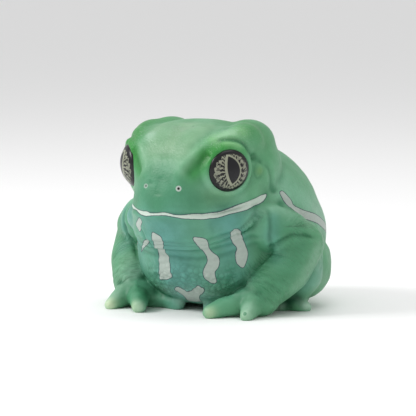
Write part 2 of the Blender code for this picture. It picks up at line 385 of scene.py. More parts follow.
# Strokes that shape the skin. Each is a path of (x, y, z), its half width and how deep it
# presses in; a minus stands out. The last number raises soft lips beside a groove. A path
# that starts on the frog's left is repeated on the right, unless LEFT_ONLY names it, and
# one that starts on the right is there alone.
HEAD_STROKES = {
    "forehead dish": ([(0, -44, 96), (0, -57, 90), (0, -66, 78)], 8.0, 0.8, 0.0),
    "forehead valley": (
        [(12, -63, 82), (14.3, -58.5, 86.8), (16.7, -54.4, 89.4), (16.2, -46, 92.8),
         (13.5, -33, 95)], 2.6, 0.5, 0.0),
    "far forehead valley": (
        [(-14.3, -58.5, 86.8), (-16.2, -46, 92.8), (-13.5, -33, 95)], 2.6, 0.15, 0.0),
    "brow ridge": (
        [(28.5, -43, 92), (25.8, -51.1, 90.2), (21.9, -54.8, 88.3), (18.9, -59.5, 84.6),
         (14.4, -63.5, 79), (10.9, -66.6, 74.4), (9.4, -69, 68.5)], 3.5, -0.9, 0.0),
    "far brow knob": ([(-13.5, -56.4, 88.7)], 3.2, -0.7, 0.0),
    "far lid": ([(-28.1, -54.9, 84.9)], 1.8, 0.7, 0.0),
    "hollow": (
        [(22.4, -59.8, 81.2), (20.5, -61.5, 79.5), (16.9, -63.7, 75.6), (13, -67.7, 70)],
        3.0, 1.1, 0.0),
    "snout groove": ([(0, -69, 70), (0, -71.8, 60)], 2.6, 0.35, 0.0),
    "beside far nostril": ([(-5.2, -69.6, 67.5), (-5.4, -70.4, 65.5)], 1.6, 0.35, 0.0),
    "nostril bump": ([(10.2, -69.4, 64.3)], 2.3, -0.55, 0.0),
    "upper lid": (
        [(26, -56, 84.4), (28.3, -53.6, 85.2), (32, -49.3, 84.4), (33.9, -45.2, 81.6)],
        1.2, -0.6, 0.0),
    "lid groove": (
        [(24.6, -55, 86.8), (25.8, -53.6, 87.7), (28.6, -51.5, 88.2), (31.7, -49, 87.7),
         (34.3, -45, 85.1), (34.6, -42.6, 82.5), (33.8, -38.6, 79.4)],
        0.9, 0.65, 0.35),
    "far lid groove": (
        [(-21, -60.2, 83.4), (-25.8, -53.6, 87.7), (-31.7, -49, 87.7), (-34.6, -42.6, 82.5),
         (-33.8, -38.6, 79.4)], 1.0, 0.15, 0.0),
    "gland front": ([(27.5, -40, 94)], 5.0, -0.5, 0.0),
    "gland valley": ([(21, -44, 94), (27, -46, 92.4), (32.5, -43, 89)], 2.2, 0.2, 0.0),
    "ear crease": (
        [(33.4, -38.5, 79.2), (34, -36, 77.8), (34.9, -34.2, 77.2), (36.4, -32, 75.4)],
        1.4, 0.7, 0.15),
    "ear pocket": ([(33.6, -37, 78.2)], 2.0, 0.7, 0.0),
    "neck crease": (
        [(36.1, -32.3, 75.6), (37.8, -28.4, 71.8), (37.7, -27, 68.9), (37.1, -25.1, 65.8),
         (37.3, -22.9, 60.7)], 1.4, 0.8, 0.3),
    "neck pit": ([(37.4, -22.3, 61.1)], 2.2, 1.2, 0.0),
    "cheek fold": ([(20, -62, 60), (28, -55, 57.5), (33, -44, 60)], 2.4, 0.35, 0.0),
    "mouth": (
        [(0, -72.2, 51.5), (8.5, -70.9, 51.9), (17.7, -65.6, 51.9), (23.6, -57.4, 52.1),
         (27.8, -49.6, 53.5), (31.4, -42.2, 55.2), (33.6, -37.2, 56.8), (35.4, -27.5, 59.4)],
        0.75, 0.75, 0.25),
}
BODY_STROKES = {
    "shoulder pit": ([(40.6, -21.7, 54.7)], 2.4, 1.1, 0.0),
    "gular groove": (
        [(37, -35, 52.4), (35.1, -39.3, 49.2), (34, -44, 46.1), (31, -47.5, 43),
         (24, -55.5, 39.5), (14, -61.5, 37.2), (0, -65.5, 37)], 1.1, 0.7, 0.35),
    "gular groove below": (
        [(38.6, -34.8, 52.1), (36.6, -38.4, 47.1), (34.1, -40.9, 43.2), (29, -47, 40),
         (22, -54.5, 36.6), (10, -62.5, 34.2), (0, -64.8, 34)], 1.1, 0.75, 0.35),
    "chest fold": (
        [(40, -35, 40.3), (36, -38.5, 38.8), (31, -45, 36.6), (22, -53.5, 33.5),
         (10, -60, 31.2), (0, -62, 31)], 1.1, 0.6, 0.3),
    "low chest fold": (
        [(34.9, -36.4, 35.9), (29.7, -43.2, 33.3), (20.4, -51.5, 29.6), (8, -57, 28),
         (0, -58.5, 28)], 1.2, 0.5, 0.3),
    "belly fold": ([(22, -50, 26.6), (12, -54.6, 25.2), (0, -57, 25)], 1.2, 0.35, 0.2),
    "elbow fold": (
        [(40, -32.4, 33.3), (43.8, -32.3, 35.4), (48.1, -31, 38.6), (51.6, -28.3, 40.3),
         (55.2, -21.2, 39.4), (57.5, -16.5, 37.4)], 1.2, 1.1, 0.3),
    "under the elbow fold": (
        [(42.8, -31.5, 32.4), (47.5, -29.8, 33.5), (51.1, -27.7, 34), (54.5, -24.2, 34.4)],
        2.6, -0.6, 0.0),
    "arm and chest": (
        [(38.2, -33.6, 53), (40.6, -34.7, 50.9), (42.2, -36, 47.8), (42.8, -36.4, 44.1),
         (42.3, -36.1, 39.5), (41, -32.3, 34.1), (39.7, -30.7, 30.1), (37.1, -33.1, 26.4),
         (34.1, -35.5, 23)], 1.2, 0.9, 0.1),
    "far throat fold": (
        [(-14.5, -65.1, 43.2), (-12.5, -65.4, 40.9), (-11.2, -63.9, 37.4), (-9.9, -61.3, 34.2),
         (-9.1, -57.1, 30.3), (-7.7, -55.6, 27.8)], 0.8, 0.55, 0.3),
    "far arm crease": (
        [(-42.5, -35.5, 41), (-41.1, -36.4, 38.5), (-37.6, -35.4, 35.1)], 2.0, 0.6, 0.1),
    "far elbow fold": ([(-39, -32.5, 33), (-42.5, -33.5, 34.5)], 1.6, 0.5, 0.0),
    "hind leg fold": ([(57, -8, 28), (55.2, -5.4, 24.4), (55.7, -9.3, 20)], 0.9, 0.45, 0.25),
}
FINE_STROKES = {
    "wrist": (
        [(32.5, -39.6, 17.5), (38.4, -42.2, 17.8), (43.8, -41.2, 17), (47.6, -38.5, 14.2),
         (48.9, -36, 11.2)], 0.8, 0.5, 0.3),
    "above the wrist": (
        [(39.7, -38.9, 21.8), (44.7, -39, 20.2), (47.8, -37.8, 17.4)], 0.8, 0.35, 0.3),
    "far forearm wrinkle": (
        [(-45, -37, 23.2), (-40.7, -37.7, 23.3), (-37.5, -36.4, 23.7)], 0.6, 0.4, 0.3),
    "far forearm wrinkle below": (
        [(-44.2, -38.2, 21.7), (-40.3, -38.8, 21.6), (-37.5, -37.9, 22)], 0.6, 0.4, 0.3),
    "far wrist": (
        [(-40.9, -42.5, 16.7), (-36.3, -42.2, 17.3), (-32.5, -39.6, 17.5)], 0.8, 0.6, 0.35),
    "far wrist below": (
        [(-41.5, -43.4, 11.7), (-38, -44.5, 12.5), (-35.1, -44.1, 12.7)], 1.2, 0.4, 0.2),
    "back of the hand": ([(38.9, -43.8, 12.8), (42, -42, 12)], 1.8, 0.6, 0.15),
    "throat wrinkle": ([(34.4, -39.5, 47.6), (35.8, -38, 45.6)], 0.7, 0.4, 0.2),
    "throat wrinkle above": ([(35.2, -37.8, 50.2), (36.6, -36.4, 48.4)], 0.7, 0.4, 0.2),
    "throat wrinkle below": ([(33, -42.4, 44.9), (34, -40.9, 42.8)], 0.7, 0.4, 0.2),
    "nostril": ([(10.7, -69.8, 64.3)], 0.75, 0.7, 0.0),
    "far nostril": ([(-7.9, -69.8, 64.7)], 0.75, 0.7, 0.0),
    "outer knuckle": ([(39.2, -49.2, 6.5)], 2.2, -0.35, 0.0),
    "inner knuckle": ([(24.2, -51, 6)], 2.4, -0.35, 0.0),
    "finger tendon": ([(34.5, -43, 15.4), (37.6, -47.5, 10.6)], 1.2, -0.3, 0.0),
    "finger tendon beside": ([(31.5, -43, 14.2), (27.4, -48.5, 9)], 1.3, -0.4, 0.0),
    "first knuckle": ([(27.5, -46.8, 13.5), (30.2, -46.9, 10.8)], 0.7, -0.35, 0.0),
    "pinhole": ([(4.6, -46.1, 93)], 0.5, 0.35, 0.0),
}
# Folds that the frog's right side doesn't repeat
LEFT_ONLY = ("forehead valley", "lid groove", "elbow fold", "under the elbow fold")
# A stroke ends at so many half widths; its lips' place and half width are in half widths
STROKE_REACH = 5
STROKE_LIPS = (2.1, 1.2)
# Over this share of its length a stroke fades, down to this share of its depth
STROKE_FADE = 0.12
STROKE_END = 0.2
# The oval ear disc: its middle, half its length and half its width
EAR_DISC = ((35.4, -34.6, 71.8), 4.0, 2.7)
# How far it bulges, and between which shares of its size it slopes down
EAR_BULGE = 0.3
EAR_SLOPE = (0.2, 1.0)
# The groove round it: half its width, and its depth
EAR_RIM = (0.65, 0.4)
# It is shaped within so many of its half lengths
EAR_REACH = 3
# Stands in for a length of zero where a length is divided by
TINY = 1e-12


def smooth_chain(path, steps=6, closed=False):
    """Points on a smooth curve through a path's stations, with each station's extra values."""
    path = np.array(path, dtype=float)
    if len(path) < 3:
        return path
    if closed:
        before = np.vstack([path[-1], path, path[:2]])
    else:
        before = np.vstack([2 * path[0] - path[1], path, 2 * path[-1] - path[-2]])
    chain = []
    for index in range(len(before) - 3):
        first, start, end, last = before[index : index + 4]
        for share in np.arange(steps) / steps:
            chain.append(0.5 * (
                2 * start
                + (end - first) * share
                + (2 * first - 5 * start + 4 * end - last) * share**2
                + (3 * start - first - 3 * end + last) * share**3
            ))
    return np.array(chain if closed else chain + [path[-1]])


def path_distance(points, chain, reach):
    """Each point's distance to a chain and its share along it; far points keep the reach."""
    distance = np.full(len(points), float(reach))
    share = np.zeros(len(points))
    low, high = chain[:, :3].min(axis=0) - reach, chain[:, :3].max(axis=0) + reach
    near = np.flatnonzero(((points > low) & (points < high)).all(axis=1))
    close = points[near]
    best = np.full(len(near), float(reach))
    best_share = np.zeros(len(near))
    starts = chain[:-1] if len(chain) > 1 else chain
    ends = chain[1:] if len(chain) > 1 else chain
    for index, (start, end) in enumerate(zip(starts, ends)):
        along = end[:3] - start[:3]
        length = max(along @ along, TINY)
        part = np.clip((close - start[:3]) @ along / length, 0.0, 1.0)
        gap = np.linalg.norm(close - start[:3] - part[:, None] * along, axis=1)
        closer = gap < best
        best = np.where(closer, gap, best)
        best_share = np.where(closer, (index + part) / len(starts), best_share)
    distance[near] = best
    share[near] = best_share
    return distance, share


def surface_tree(mesh):
    """A search tree over a mesh, in millimetres."""
    mesh.calc_loop_triangles()
    corners = np.empty(len(mesh.loop_triangles) * 3, np.int32)
    mesh.loop_triangles.foreach_get("vertices", corners)
    places = (read_points(mesh) / MM).tolist()
    return BVHTree.FromPolygons(places, corners.reshape(-1, 3).tolist())


def on_surface(tree, path):
    """A path's stations moved to the nearest place on the skin."""
    return [(*tree.find_nearest(Vector(place[:3]))[0], *place[3:]) for place in path]


def other_side(path):
    return [(-place[0], *place[1:]) for place in path]


def sides_of(path):
    """The paths that one path stands for: itself, and its twin on the frog's right."""
    if path[0][0] < 0 or max(abs(place[0]) for place in path) == 0:
        return [path]
    if path[0][0] == 0:
        return [other_side(path)[:0:-1] + path]
    if path[-1][0] == 0:
        return [path + other_side(path)[-2::-1]]
    return [path, other_side(path)]


def stroke(points, chain, width, depth, lips):
    """How far each point moves along its normal for one groove or ridge."""
    distance, share = path_distance(points, chain, width * STROKE_REACH)
    groove = np.exp(-((distance / width) ** 2))
    aside, half = STROKE_LIPS
    beside = np.exp(-(((distance - aside * width) / (half * width)) ** 2))
    ends = 1.0
    if len(chain) > 1:
        inner = np.clip(np.minimum(share, 1 - share) / STROKE_FADE, 0.0, 1.0)
        ends = STROKE_END + (1 - STROKE_END) * inner
    reach = distance < width * STROKE_REACH
    return -depth * (groove - lips * beside * reach) * ends


def push_out(mesh, points, moved):
    """Move each point along its normal: outward by a positive number, inward by a negative."""
    points = points + read_points(mesh, "normal") * moved[:, None]
    write_points(mesh, points * MM)
    return points


def apply_strokes(mesh, points, tree, strokes):
    """Press a table's grooves into the skin."""
    moved = np.zeros(len(points))
    for name, (path, width, depth, lips) in strokes.items():
        for side in [path] if name in LEFT_ONLY else sides_of(path):
            chain = smooth_chain(on_surface(tree, side))
            moved += stroke(points, chain, width, depth, lips)
    return push_out(mesh, points, moved)


def shape_ears(mesh, points, tree):
    """A soft oval disc behind each eye, with a groove round it."""
    middle, length, width = EAR_DISC
    groove, depth = EAR_RIM
    moved = np.zeros(len(points))
    for side in (1, -1):
        place, out = tree.find_nearest(Vector((side * middle[0], *middle[1:])))[:2]
        up = Vector((0, 0, 1))
        ahead = up.cross(out).normalized()
        offset = points - np.array(place)
        across, along = offset @ np.array(ahead), offset @ np.array(out.cross(ahead))
        near = np.linalg.norm(offset, axis=1) < EAR_REACH * length
        ring = np.hypot(across / width, along / length)
        gap = (ring - 1) * (length + width) / 2
        rim = -depth * np.exp(-((gap / groove) ** 2))
        disc = EAR_BULGE * (1 - ease(ring, *EAR_SLOPE))
        moved += np.where(near, rim + disc, 0.0)
    return push_out(mesh, points, moved)


# Eyes
def eye_frame(name):
    """An eye's middle and its forward, upward and outward directions."""
    centre, outward, down = EYE_PLACES[name]
    outward, down = math.radians(outward), math.radians(down)
    level = math.cos(down)
    out = Vector((math.sin(outward) * level, -math.cos(outward) * level, -math.sin(down)))
    side = -1 if centre[0] > 0 else 1
    ahead = side * Vector((0, 0, 1)).cross(out).normalized()
    rise = side * out.cross(ahead)
    return np.array(centre), np.array(ahead), np.array(rise), np.array(out)


def beside_eye(points, name):
    """Height of each point over the plane of an eye's rim, and its distance from the eye's axis."""
    centre, ahead, rise, out = eye_frame(name)
    offset = points - centre
    return offset @ out, np.hypot(offset @ ahead, offset @ rise), out


def dome_height(distance):
    """Height of the eye's dome over its rim at a distance from its axis."""
    return EYE_DOME - EYE_BALL + np.sqrt(np.maximum(EYE_BALL**2 - distance**2, 0.0))


def ease(values, start, end):
    """A smooth step from 0 at start to 1 at end."""
    share = np.clip((values - start) / (end - start), 0.0, 1.0)
    return share * share * (3 - 2 * share)


# The skin round an eye is shaped within these distances along the rim's plane and from it
SOCKET_REACH = (15.0, 9.0)
# How deep it runs under the dome, and where it rises to the lid and where the lid fades
UNDER_DOME = 0.7
LID_RISE = (9.7, 10.8)
LID_FADE = (11.0, 14.5)
# The lid stands proud, and keeps a share of the skin's own height between two limits
LID_PROUD = 0.3
LID_SHARE = 0.4
LID_LIMITS = (-0.4, 1.2)


def seat_eyes(points):
    """Carry the skin under each dome and raise a thin lid over its edge."""
    points = points.copy()
    for name in EYES:
        height, distance, out = beside_eye(points, name)
        close = (distance < SOCKET_REACH[0]) & (np.abs(height) < SOCKET_REACH[1])
        near = np.flatnonzero(close)
        height, distance = height[near], distance[near]
        under = dome_height(distance) - UNDER_DOME
        lid = np.clip(height, *LID_LIMITS) * LID_SHARE + LID_PROUD
        wanted = under + (lid - under) * ease(distance, *LID_RISE)
        hold = 1 - ease(distance, *LID_FADE)
        points[near] += out * ((wanted - height) * hold)[:, None]
    return points


# How far the black ring bulges, where it is highest, and its half width
RIM_BULGE = (0.2, 9.75, 0.5)


def make_eye(name):
    """A closed dome with a flat back, and a UV map of the millimetres round its middle."""
    centre, ahead, rise, out = eye_frame(name)
    radii = [EYE_RADIUS * ring / EYE_RINGS for ring in range(EYE_RINGS + 1)]
    high, middle, width = RIM_BULGE
    profile = []
    for radius in radii:
        bulge = high * math.exp(-(((radius - middle) / width) ** 2))
        profile.append((radius, dome_height(radius) + bulge))
    profile += [(EYE_RADIUS, -EYE_BACK), (0.0, -EYE_BACK)]
    work = bmesh.new()
    rings = []
    for radius, height in profile:
        count = 1 if radius == 0.0 else EYE_SIDES
        ring = []
        for number in range(count):
            angle = 2 * math.pi * number / count
            across, up = radius * math.cos(angle), radius * math.sin(angle)
            place = centre + ahead * across + rise * up + out * height
            ring.append((work.verts.new(place * MM), (across, up)))
        rings.append(ring)
    disc = {vert: flat for ring in rings for vert, flat in ring}
    for inner, outer in zip(rings, rings[1:]):
        for number in range(EYE_SIDES):
            following = (number + 1) % EYE_SIDES
            corners = [
                inner[number % len(inner)][0],
                outer[number % len(outer)][0],
                outer[following % len(outer)][0],
                inner[following % len(inner)][0],
            ]
            work.faces.new(list(dict.fromkeys(corners)))
    bmesh.ops.recalc_face_normals(work, faces=work.faces)
    disc_map = work.loops.layers.uv.new("disc")
    for face in work.faces:
        face.smooth = True
        for loop in face.loops:
            across, up = disc[loop.vert]
            loop[disc_map].uv = (0.5 + across / EYE_MAP, 0.5 + up / EYE_MAP)
    mesh = bpy.data.meshes.new(name.replace("eye", "dome"))
    work.to_mesh(mesh)
    work.free()
    return link(mesh.name, mesh)


# Printed marks: closed outlines of (x, y, z) on the chest
OUTLINES = {
    "right chest stripe": [
        (-5.6, -67.9, 41.6), (-2.9, -68, 41), (-0.5, -67.7, 39.4), (-0.8, -65.4, 36.9),
        (-3.4, -59.9, 32.4), (-3.3, -57.1, 29.5), (-3.1, -55.7, 22.9), (-2.7, -54.4, 19),
        (-3.8, -53.8, 17.9), (-7.2, -52.8, 16.8), (-11, -51.6, 16.6), (-11.2, -52.4, 18.2),
        (-10.1, -54.6, 22.3), (-9.1, -56.1, 29.4), (-8.1, -58.3, 31.6), (-8, -62, 34.3),
        (-6.6, -64.9, 36.9),
    ],
    "left chest stripe": [
        (15.3, -63.7, 39.6), (17.7, -62.2, 40), (19.9, -60.2, 39.3), (20.2, -58.1, 37.4),
        (19.3, -55.6, 34.5), (19.3, -53.4, 32.6), (21.4, -50.3, 29.6), (22.1, -50.2, 27),
        (21.3, -50.2, 24.3), (19.7, -50.5, 21.9), (19.5, -49.7, 19.5), (19.5, -48.5, 17.5),
        (18.3, -48.1, 16.1), (16.8, -49.1, 16.3), (15.1, -50.8, 17.9), (14.4, -52.1, 19.8),
        (14.8, -53.2, 22.6), (16.9, -53, 26.9), (16.9, -53, 29.2), (16.4, -55.1, 32.2),
        (15.8, -58.4, 34.6),
    ],
    "outer chest stripe": [
        (28.4, -50, 41.5), (30.4, -50.7, 43.4), (31.4, -49.4, 43.8), (31.7, -46.6, 42.7),
        (30.9, -43.9, 40.3), (30.8, -41.8, 37.1), (31.3, -40.3, 33.9), (32, -39.7, 31.3),
        (31.9, -39.9, 28.6), (31.3, -40.4, 26), (30.3, -41.2, 23.9), (28.8, -43.8, 25.8),
        (28.3, -44.8, 28.5), (28.2, -44.8, 31.2), (28.6, -44, 33), (28.6, -45.4, 35),
        (27.9, -47.6, 37.5),
    ],
    "forked belly mark": [
        (-4, -49.2, 11.6), (-2.5, -50.5, 13), (-0.9, -50.7, 13.1), (0.6, -49.4, 11.8),
        (2.3, -48.6, 11), (4.6, -48.7, 11.3), (6.9, -49.6, 12.6), (9.1, -50.3, 14),
        (10.8, -50.2, 14.3), (12, -48.2, 12.6), (10.4, -46.5, 10.6), (8.1, -45.4, 9.2),
        (6.3, -43.4, 7.6), (4.9, -40.2, 5.6), (4.5, -38.7, 4.9), (-2.5, -38.5, 4.7),
        (-2, -42.2, 6.5), (-1.7, -45.7, 8.5), (-3.1, -47.1, 9.7),
    ],
    "far throat mark": [
        (-12.6, -68.5, 48.6), (-11.5, -68, 46.7), (-13.3, -66.3, 44.6), (-14.9, -64.4, 41.5),
        (-16.8, -63.5, 43), (-18, -63.2, 44.6), (-15.1, -66.2, 47.1),
    ],
    "far chest sliver": [
        (-12.2, -63.4, 37.4), (-11.3, -62.4, 35.8), (-18.3, -54.2, 33), (-22.1, -50.4, 31.1),
        (-24.3, -48.6, 29.4), (-22.7, -50.5, 31.8), (-17.3, -57.5, 35),
    ],
}
# The frog's right side carries a twin of the outer chest stripe, moved a little
FAR_STRIPE_SHIFT = (-1.0, 4.0, 0.5)
# A mark prints only on skin this close to the plane that fits its outline
MARK_DEPTH = 7.0

# Bands of (x, y, z, half width): the pale lip from the frog's right to its left, and the
# flank stripe from front to rear, which has a twin on the right
LIP_BAND = [
    (-35.2, -27.8, 59.4, 0.4), (-34.6, -30.5, 58.3, 1.0), (-33, -36, 56.6, 1.6),
    (-31, -43, 55.3, 1.6), (-28, -50, 54.5, 1.5), (-23.5, -58, 53.9, 1.35),
    (-19, -63.8, 53.4, 1.1), (-15.8, -67.1, 52.9, 0.6), (-13.4, -68.6, 52.1, 0.65),
    (-10.1, -70.2, 51.5, 0.9), (-6.9, -71.3, 51.4, 1.1), (-4.6, -71.5, 51.1, 0.6),
    (-1, -71.7, 51.4, 0.5), (3, -71.7, 51.7, 0.65), (6.5, -71.1, 51.4, 0.55),
    (9.6, -70.4, 50.9, 0.5), (12.8, -68.9, 50.6, 0.8), (15.1, -67.3, 50.6, 1.05),
    (17.7, -65, 50.6, 1.25), (20.2, -62.4, 50.5, 1.25), (22.8, -58.7, 50.7, 1.3),
    (25.2, -55.5, 51.2, 1.4), (27.9, -51, 52.1, 1.6), (29.7, -47.1, 53.1, 1.75),
    (31.4, -42.5, 54.1, 1.8), (32.8, -37.9, 55.4, 1.8), (34.2, -32.3, 56.9, 1.75),
    (35, -29.3, 58, 1.2), (35.3, -27.4, 58.9, 0.4),
]
FLANK_BAND = [
    (39.7, -19, 59.1, 1.3), (41.3, -17.7, 56.4, 1.75), (42.8, -16.3, 54, 1.8),
    (43.6, -15.4, 52.6, 1.1), (44.7, -13.5, 50.8, 1.6), (45.6, -9.6, 48.6, 2.0),
    (46.4, -3.2, 46.9, 1.95), (46.1, 4.5, 44.7, 2.1), (45.1, 12, 41.6, 2.2),
    (42.7, 20.6, 37.9, 1.9),
]
# Distances to marks and bands aren't measured past this one
FAR_FROM_MARKS = 6.0

# Soft sprays of one paint: its name, a path, how far it reaches and how strong it is. A
# path on the frog's left is repeated on the right, as strokes are.
SPRAYS = [
    ("teal", [(0, -69, 44), (0, -63, 36), (0, -58, 24), (0, -46, 10)], 19, 1.0),
    ("teal", [(27, -50, 46), (27, -46, 36), (26, -44, 22)], 10, 0.9),
    ("teal", [(33, -38, 50), (24, -57, 48)], 5, 0.6),
    ("moss", [(28, -45, 27), (22, -46, 13)], 6, 0.45),
    ("mint", [(40, -14, 60), (45, -6, 54), (46.5, 4, 49), (44, 16, 44), (38, 28, 38)], 10, 1.0),
    ("mint", [(37.5, -22, 66), (38.5, -21, 61)], 5, 0.3),
    ("mint", [(46.5, -27, 50), (41, -30, 53)], 6, 0.8),
    ("teal", [(54, -16, 13), (57, -8, 20)], 7, 0.5),
    ("pale_and_highlight", [(57, -8, 20), (56, -10, 13)], 5, 0.25),
    ("pale_and_highlight", [(46.5, 4, 49), (44, 16, 44)], 6, 0.3),
    ("teal", [(42.5, -35, 40), (43, -32, 33), (45, -31, 27)], 5, 0.5),
    # Painted shade on the arm's side of the fold between arm and chest, and deeper painted shade
    # along the fold
    ("teal", [(43.5, -34, 48), (44, -34.5, 40)], 4, 0.6),
    ("painted_shade", [(42.2, -36, 47.8), (42.3, -36.1, 39.5), (41, -32.3, 34.1)], 1.2, 0.25),
    # Painted highlight along the near forearm's outer edge
    ("pale_and_highlight", [(58.6, -16.2, 32.8), (56.8, -23, 23.5), (53.2, -28.7, 14.9)], 4, 0.3),
    ("mint", [(22, -60, 66), (27, -56, 61), (33, -48, 60)], 5, 0.75),
    ("mint", [(34, -42, 47), (36, -38, 51)], 4, 0.45),
    ("frost", [(0, -46, 93), (0, -58, 86), (0, -62, 82)], 8, 0.85),
    ("frost", [(13, -46, 93), (11, -56, 88), (9, -62, 82)], 6, 0.6),
    ("moss", [(0, -70, 66), (0, -72, 57)], 8, 0.95),
    ("moss", [(9, -69, 62), (17, -65, 57)], 7, 0.65),
    ("moss", [(0, -66, 75)], 6, 0.35),
    ("leaf", [(24, -30, 95), (14, -26, 94)], 11, 0.4),
    ("leaf", [(31, -34, 91), (34, -26, 86)], 8, 0.3),
    ("leaf", [(29, -38, 93.5)], 6, 0.35),
    # Painted highlight along the ridges from brow to nostril
    ("pale_and_highlight", [(18.4, -59.6, 84), (14.4, -64.5, 78.3), (11.2, -67, 72.6)], 2.6, 0.25),
    ("leaf", [(26.5, -56.6, 84.4), (22.4, -59.5, 80.4)], 5.6, 0.85),
    ("leaf", [(20.1, -60.4, 77.9), (16, -64.3, 72.3)], 5.2, 0.65),
    ("leaf", [(31, -55, 84.5), (35.5, -46, 82)], 3.0, 0.5),
    ("olive", [(36, -34.4, 71.4)], 2.4, 0.6),
    ("olive", [(22, -57, 62), (28, -52, 60)], 5, 0.25),
    ("moss", [(46, -24, 41), (52, -27, 33), (49, -35, 20), (40, -44, 12)], 10, 0.25),
    # Painted highlight along the near hand's first finger
    ("pale_and_highlight", [(29.5, -46.7, 10.9), (35, -44.4, 12.5)], 1.4, 0.3),
    ("cream", [(22.2, -59.6, 3)], 3.4, 0.45),
    ("pale_and_highlight", [(39.9, -56, 3.6), (38.4, -52.5, 6.5)], 4.5, 0.6),
    # Painted highlight along the back of the near hand
    ("pale_and_highlight", [(37.9, -50.3, 8), (36, -44.2, 12.5), (33.5, -40, 16)], 3.0, 0.3),
    ("cream", [(39.4, -56.6, 2.6)], 3.2, 0.12),
    ("pale_and_highlight", [(4, -47.5, 10.5), (13, -45.5, 10)], 5, 0.2),
    ("pale_and_highlight", [(8.6, -37.8, 4.2)], 3.4, 0.4),
    # Painted shadow under the near shank and foot
    ("painted_shade", [(41, -16.5, 4), (45.6, -15, 6.9)], 3.6, 0.9),
    ("painted_shade", [(48, -14, 4)], 2.4, 0.5),
    ("pale_and_highlight", [(36.9, -18.4, 1.5)], 2.6, 0.9),
    ("pale_and_highlight", [(50.4, -11.6, 2.8)], 3.0, 0.95),
    ("pale_and_highlight", [(30, -20.6, 3)], 3.0, 0.6),
]
# Sprays that stay on their own side, laid over the others
ONE_SIDE_SPRAYS = [
    # Painted highlight: lime and pale bands on the near brow ridge and the lid above the near eye
    ("highlight_lime", [(30.5, -43, 91.6), (27, -49, 89.8), (22, -54.5, 87.6)], 4.2, 0.55),
    ("pale_and_highlight", [(28, -47, 90.8), (24, -53, 89)], 2.6, 0.3),
    ("highlight_lime", [(28.3, -53.6, 85.6), (32, -49.3, 84.8)], 2.0, 0.5),
    # Painted shade: deep green on the far brow
    ("leaf", [(-29, -44, 91), (-24, -54, 88)], 7, 0.85),
    # Painted highlight: a pale spot on the far brow knob
    ("pale_and_highlight", [(-13.5, -57, 88.4)], 3.0, 0.6),
    ("moss", [(46, -24, 41), (52, -27, 33), (49, -35, 20), (40, -44, 12)], 10, 0.6),
    ("moss", [(-31, -47, 9), (-22, -52, 6)], 7, 0.9),
    ("pale_and_highlight", [(-36, -38, 24), (-40, -42, 12)], 6, 0.25),
    ("cream", [(-37.8, -57, 3)], 3.6, 0.65),
    ("pale_and_highlight", [(-18.6, -59.9, 2.6)], 3.4, 0.55),
    ("cream", [(-18.6, -59.9, 2.6)], 3.4, 0.2),
]
# A spray is cut off at so many times its reach
SPRAY_CUT = 2.6
# Folds this deep, found by so many passes of smoothing, get painted shade of this share,
# and edges that stand out as much get a painted highlight of this one
CREASE_DEPTH = 0.6
CREASE_SPREAD = 40
CREASE_SHADE = 0.7
EDGE_LIGHT = 0.12

# Where the belly is cobbled
COBBLE_PATHS = (
    [(0, -55.5, 20), (12, -53, 18), (24, -46, 17), (30, -40, 24)],
    [(0, -50, 12), (20, -46, 13)],
)
COBBLE_REACH = 7.5
# The cobbles end at these x, short of the arms, and fade over this distance before them
COBBLE_SPAN = (-21.0, 29.0)
COBBLE_FADE = 3.0
# How far and how finely the cobbles' pattern is shaken
COBBLE_SHAKE = 1.2
COBBLE_SHAKE_SCALE = 0.26
# Where the paint is glossier and carries painted highlight speckles: the brows, the far knob and
# the forehead
GLOSS_PATHS = (
    [(30.5, -43, 91.6), (26, -50, 90), (21, -56, 87)],
    [(-13.5, -56.4, 88.7), (-13, -58, 87)],
    [(0, -50, 92), (0, -60, 85)],
)
GLOSS_REACH = 7.0
# Where the flanks and the back are finely wrinkled
WRINKLE_PATHS = (
    [(40, -12, 64), (46, -2, 52), (44, 16, 46)],
    [(0, 10, 80), (0, 40, 62), (0, 62, 40)],
    [(24, 14, 76), (28, 40, 55)],
)
WRINKLE_REACH = 16.0
# Lines that fine wrinkles cross, how far the wrinkles reach and how close they stand
RING_LINES = (
    ([(44, -20, 54), (52, -16, 42), (49, -26, 30), (42, -38, 18), (34, -46, 9)], 15.0, 1.0),
    ([(37, -35, 52), (35.5, -38.6, 48), (33.5, -43.5, 44), (29, -48.5, 41)], 3.4, 1.6),
)
# Over this share of a line its ends fade, and from this share of the reach its sides
RING_ENDS = 0.15
RING_SIDES = 0.6


def outline_distance(points, tree, outline):
    """Signed distance to a closed outline on the skin, in the plane that fits it best."""
    chain = smooth_chain(on_surface(tree, outline), steps=4, closed=True)
    middle = chain.mean(axis=0)
    axes = np.linalg.svd(chain - middle, full_matrices=False)[2]
    flat = (chain - middle) @ axes[:2].T
    local = (points - middle) @ axes.T
    low, high = flat.min(axis=0) - FAR_FROM_MARKS, flat.max(axis=0) + FAR_FROM_MARKS
    close = (local[:, :2] > low).all(axis=1) & (local[:, :2] < high).all(axis=1)
    near = np.flatnonzero(close & (np.abs(local[:, 2]) < MARK_DEPTH))
    places = local[near, :2]
    best = np.full(len(near), FAR_FROM_MARKS)
    inside = np.zeros(len(near), bool)
    for start, end in zip(flat, np.roll(flat, -1, axis=0)):
        along = end - start
        part = np.clip((places - start) @ along / max(along @ along, TINY), 0.0, 1.0)
        best = np.minimum(best, np.linalg.norm(places - start - part[:, None] * along, axis=1))
        crosses = (start[1] > places[:, 1]) != (end[1] > places[:, 1])
        rise = along[1] if along[1] != 0 else TINY
        crossing = start[0] + (places[:, 1] - start[1]) * along[0] / rise
        inside ^= crosses & (places[:, 0] < crossing)
    distance = np.full(len(points), FAR_FROM_MARKS)
    distance[near] = np.where(inside, -best, best)
    return distance


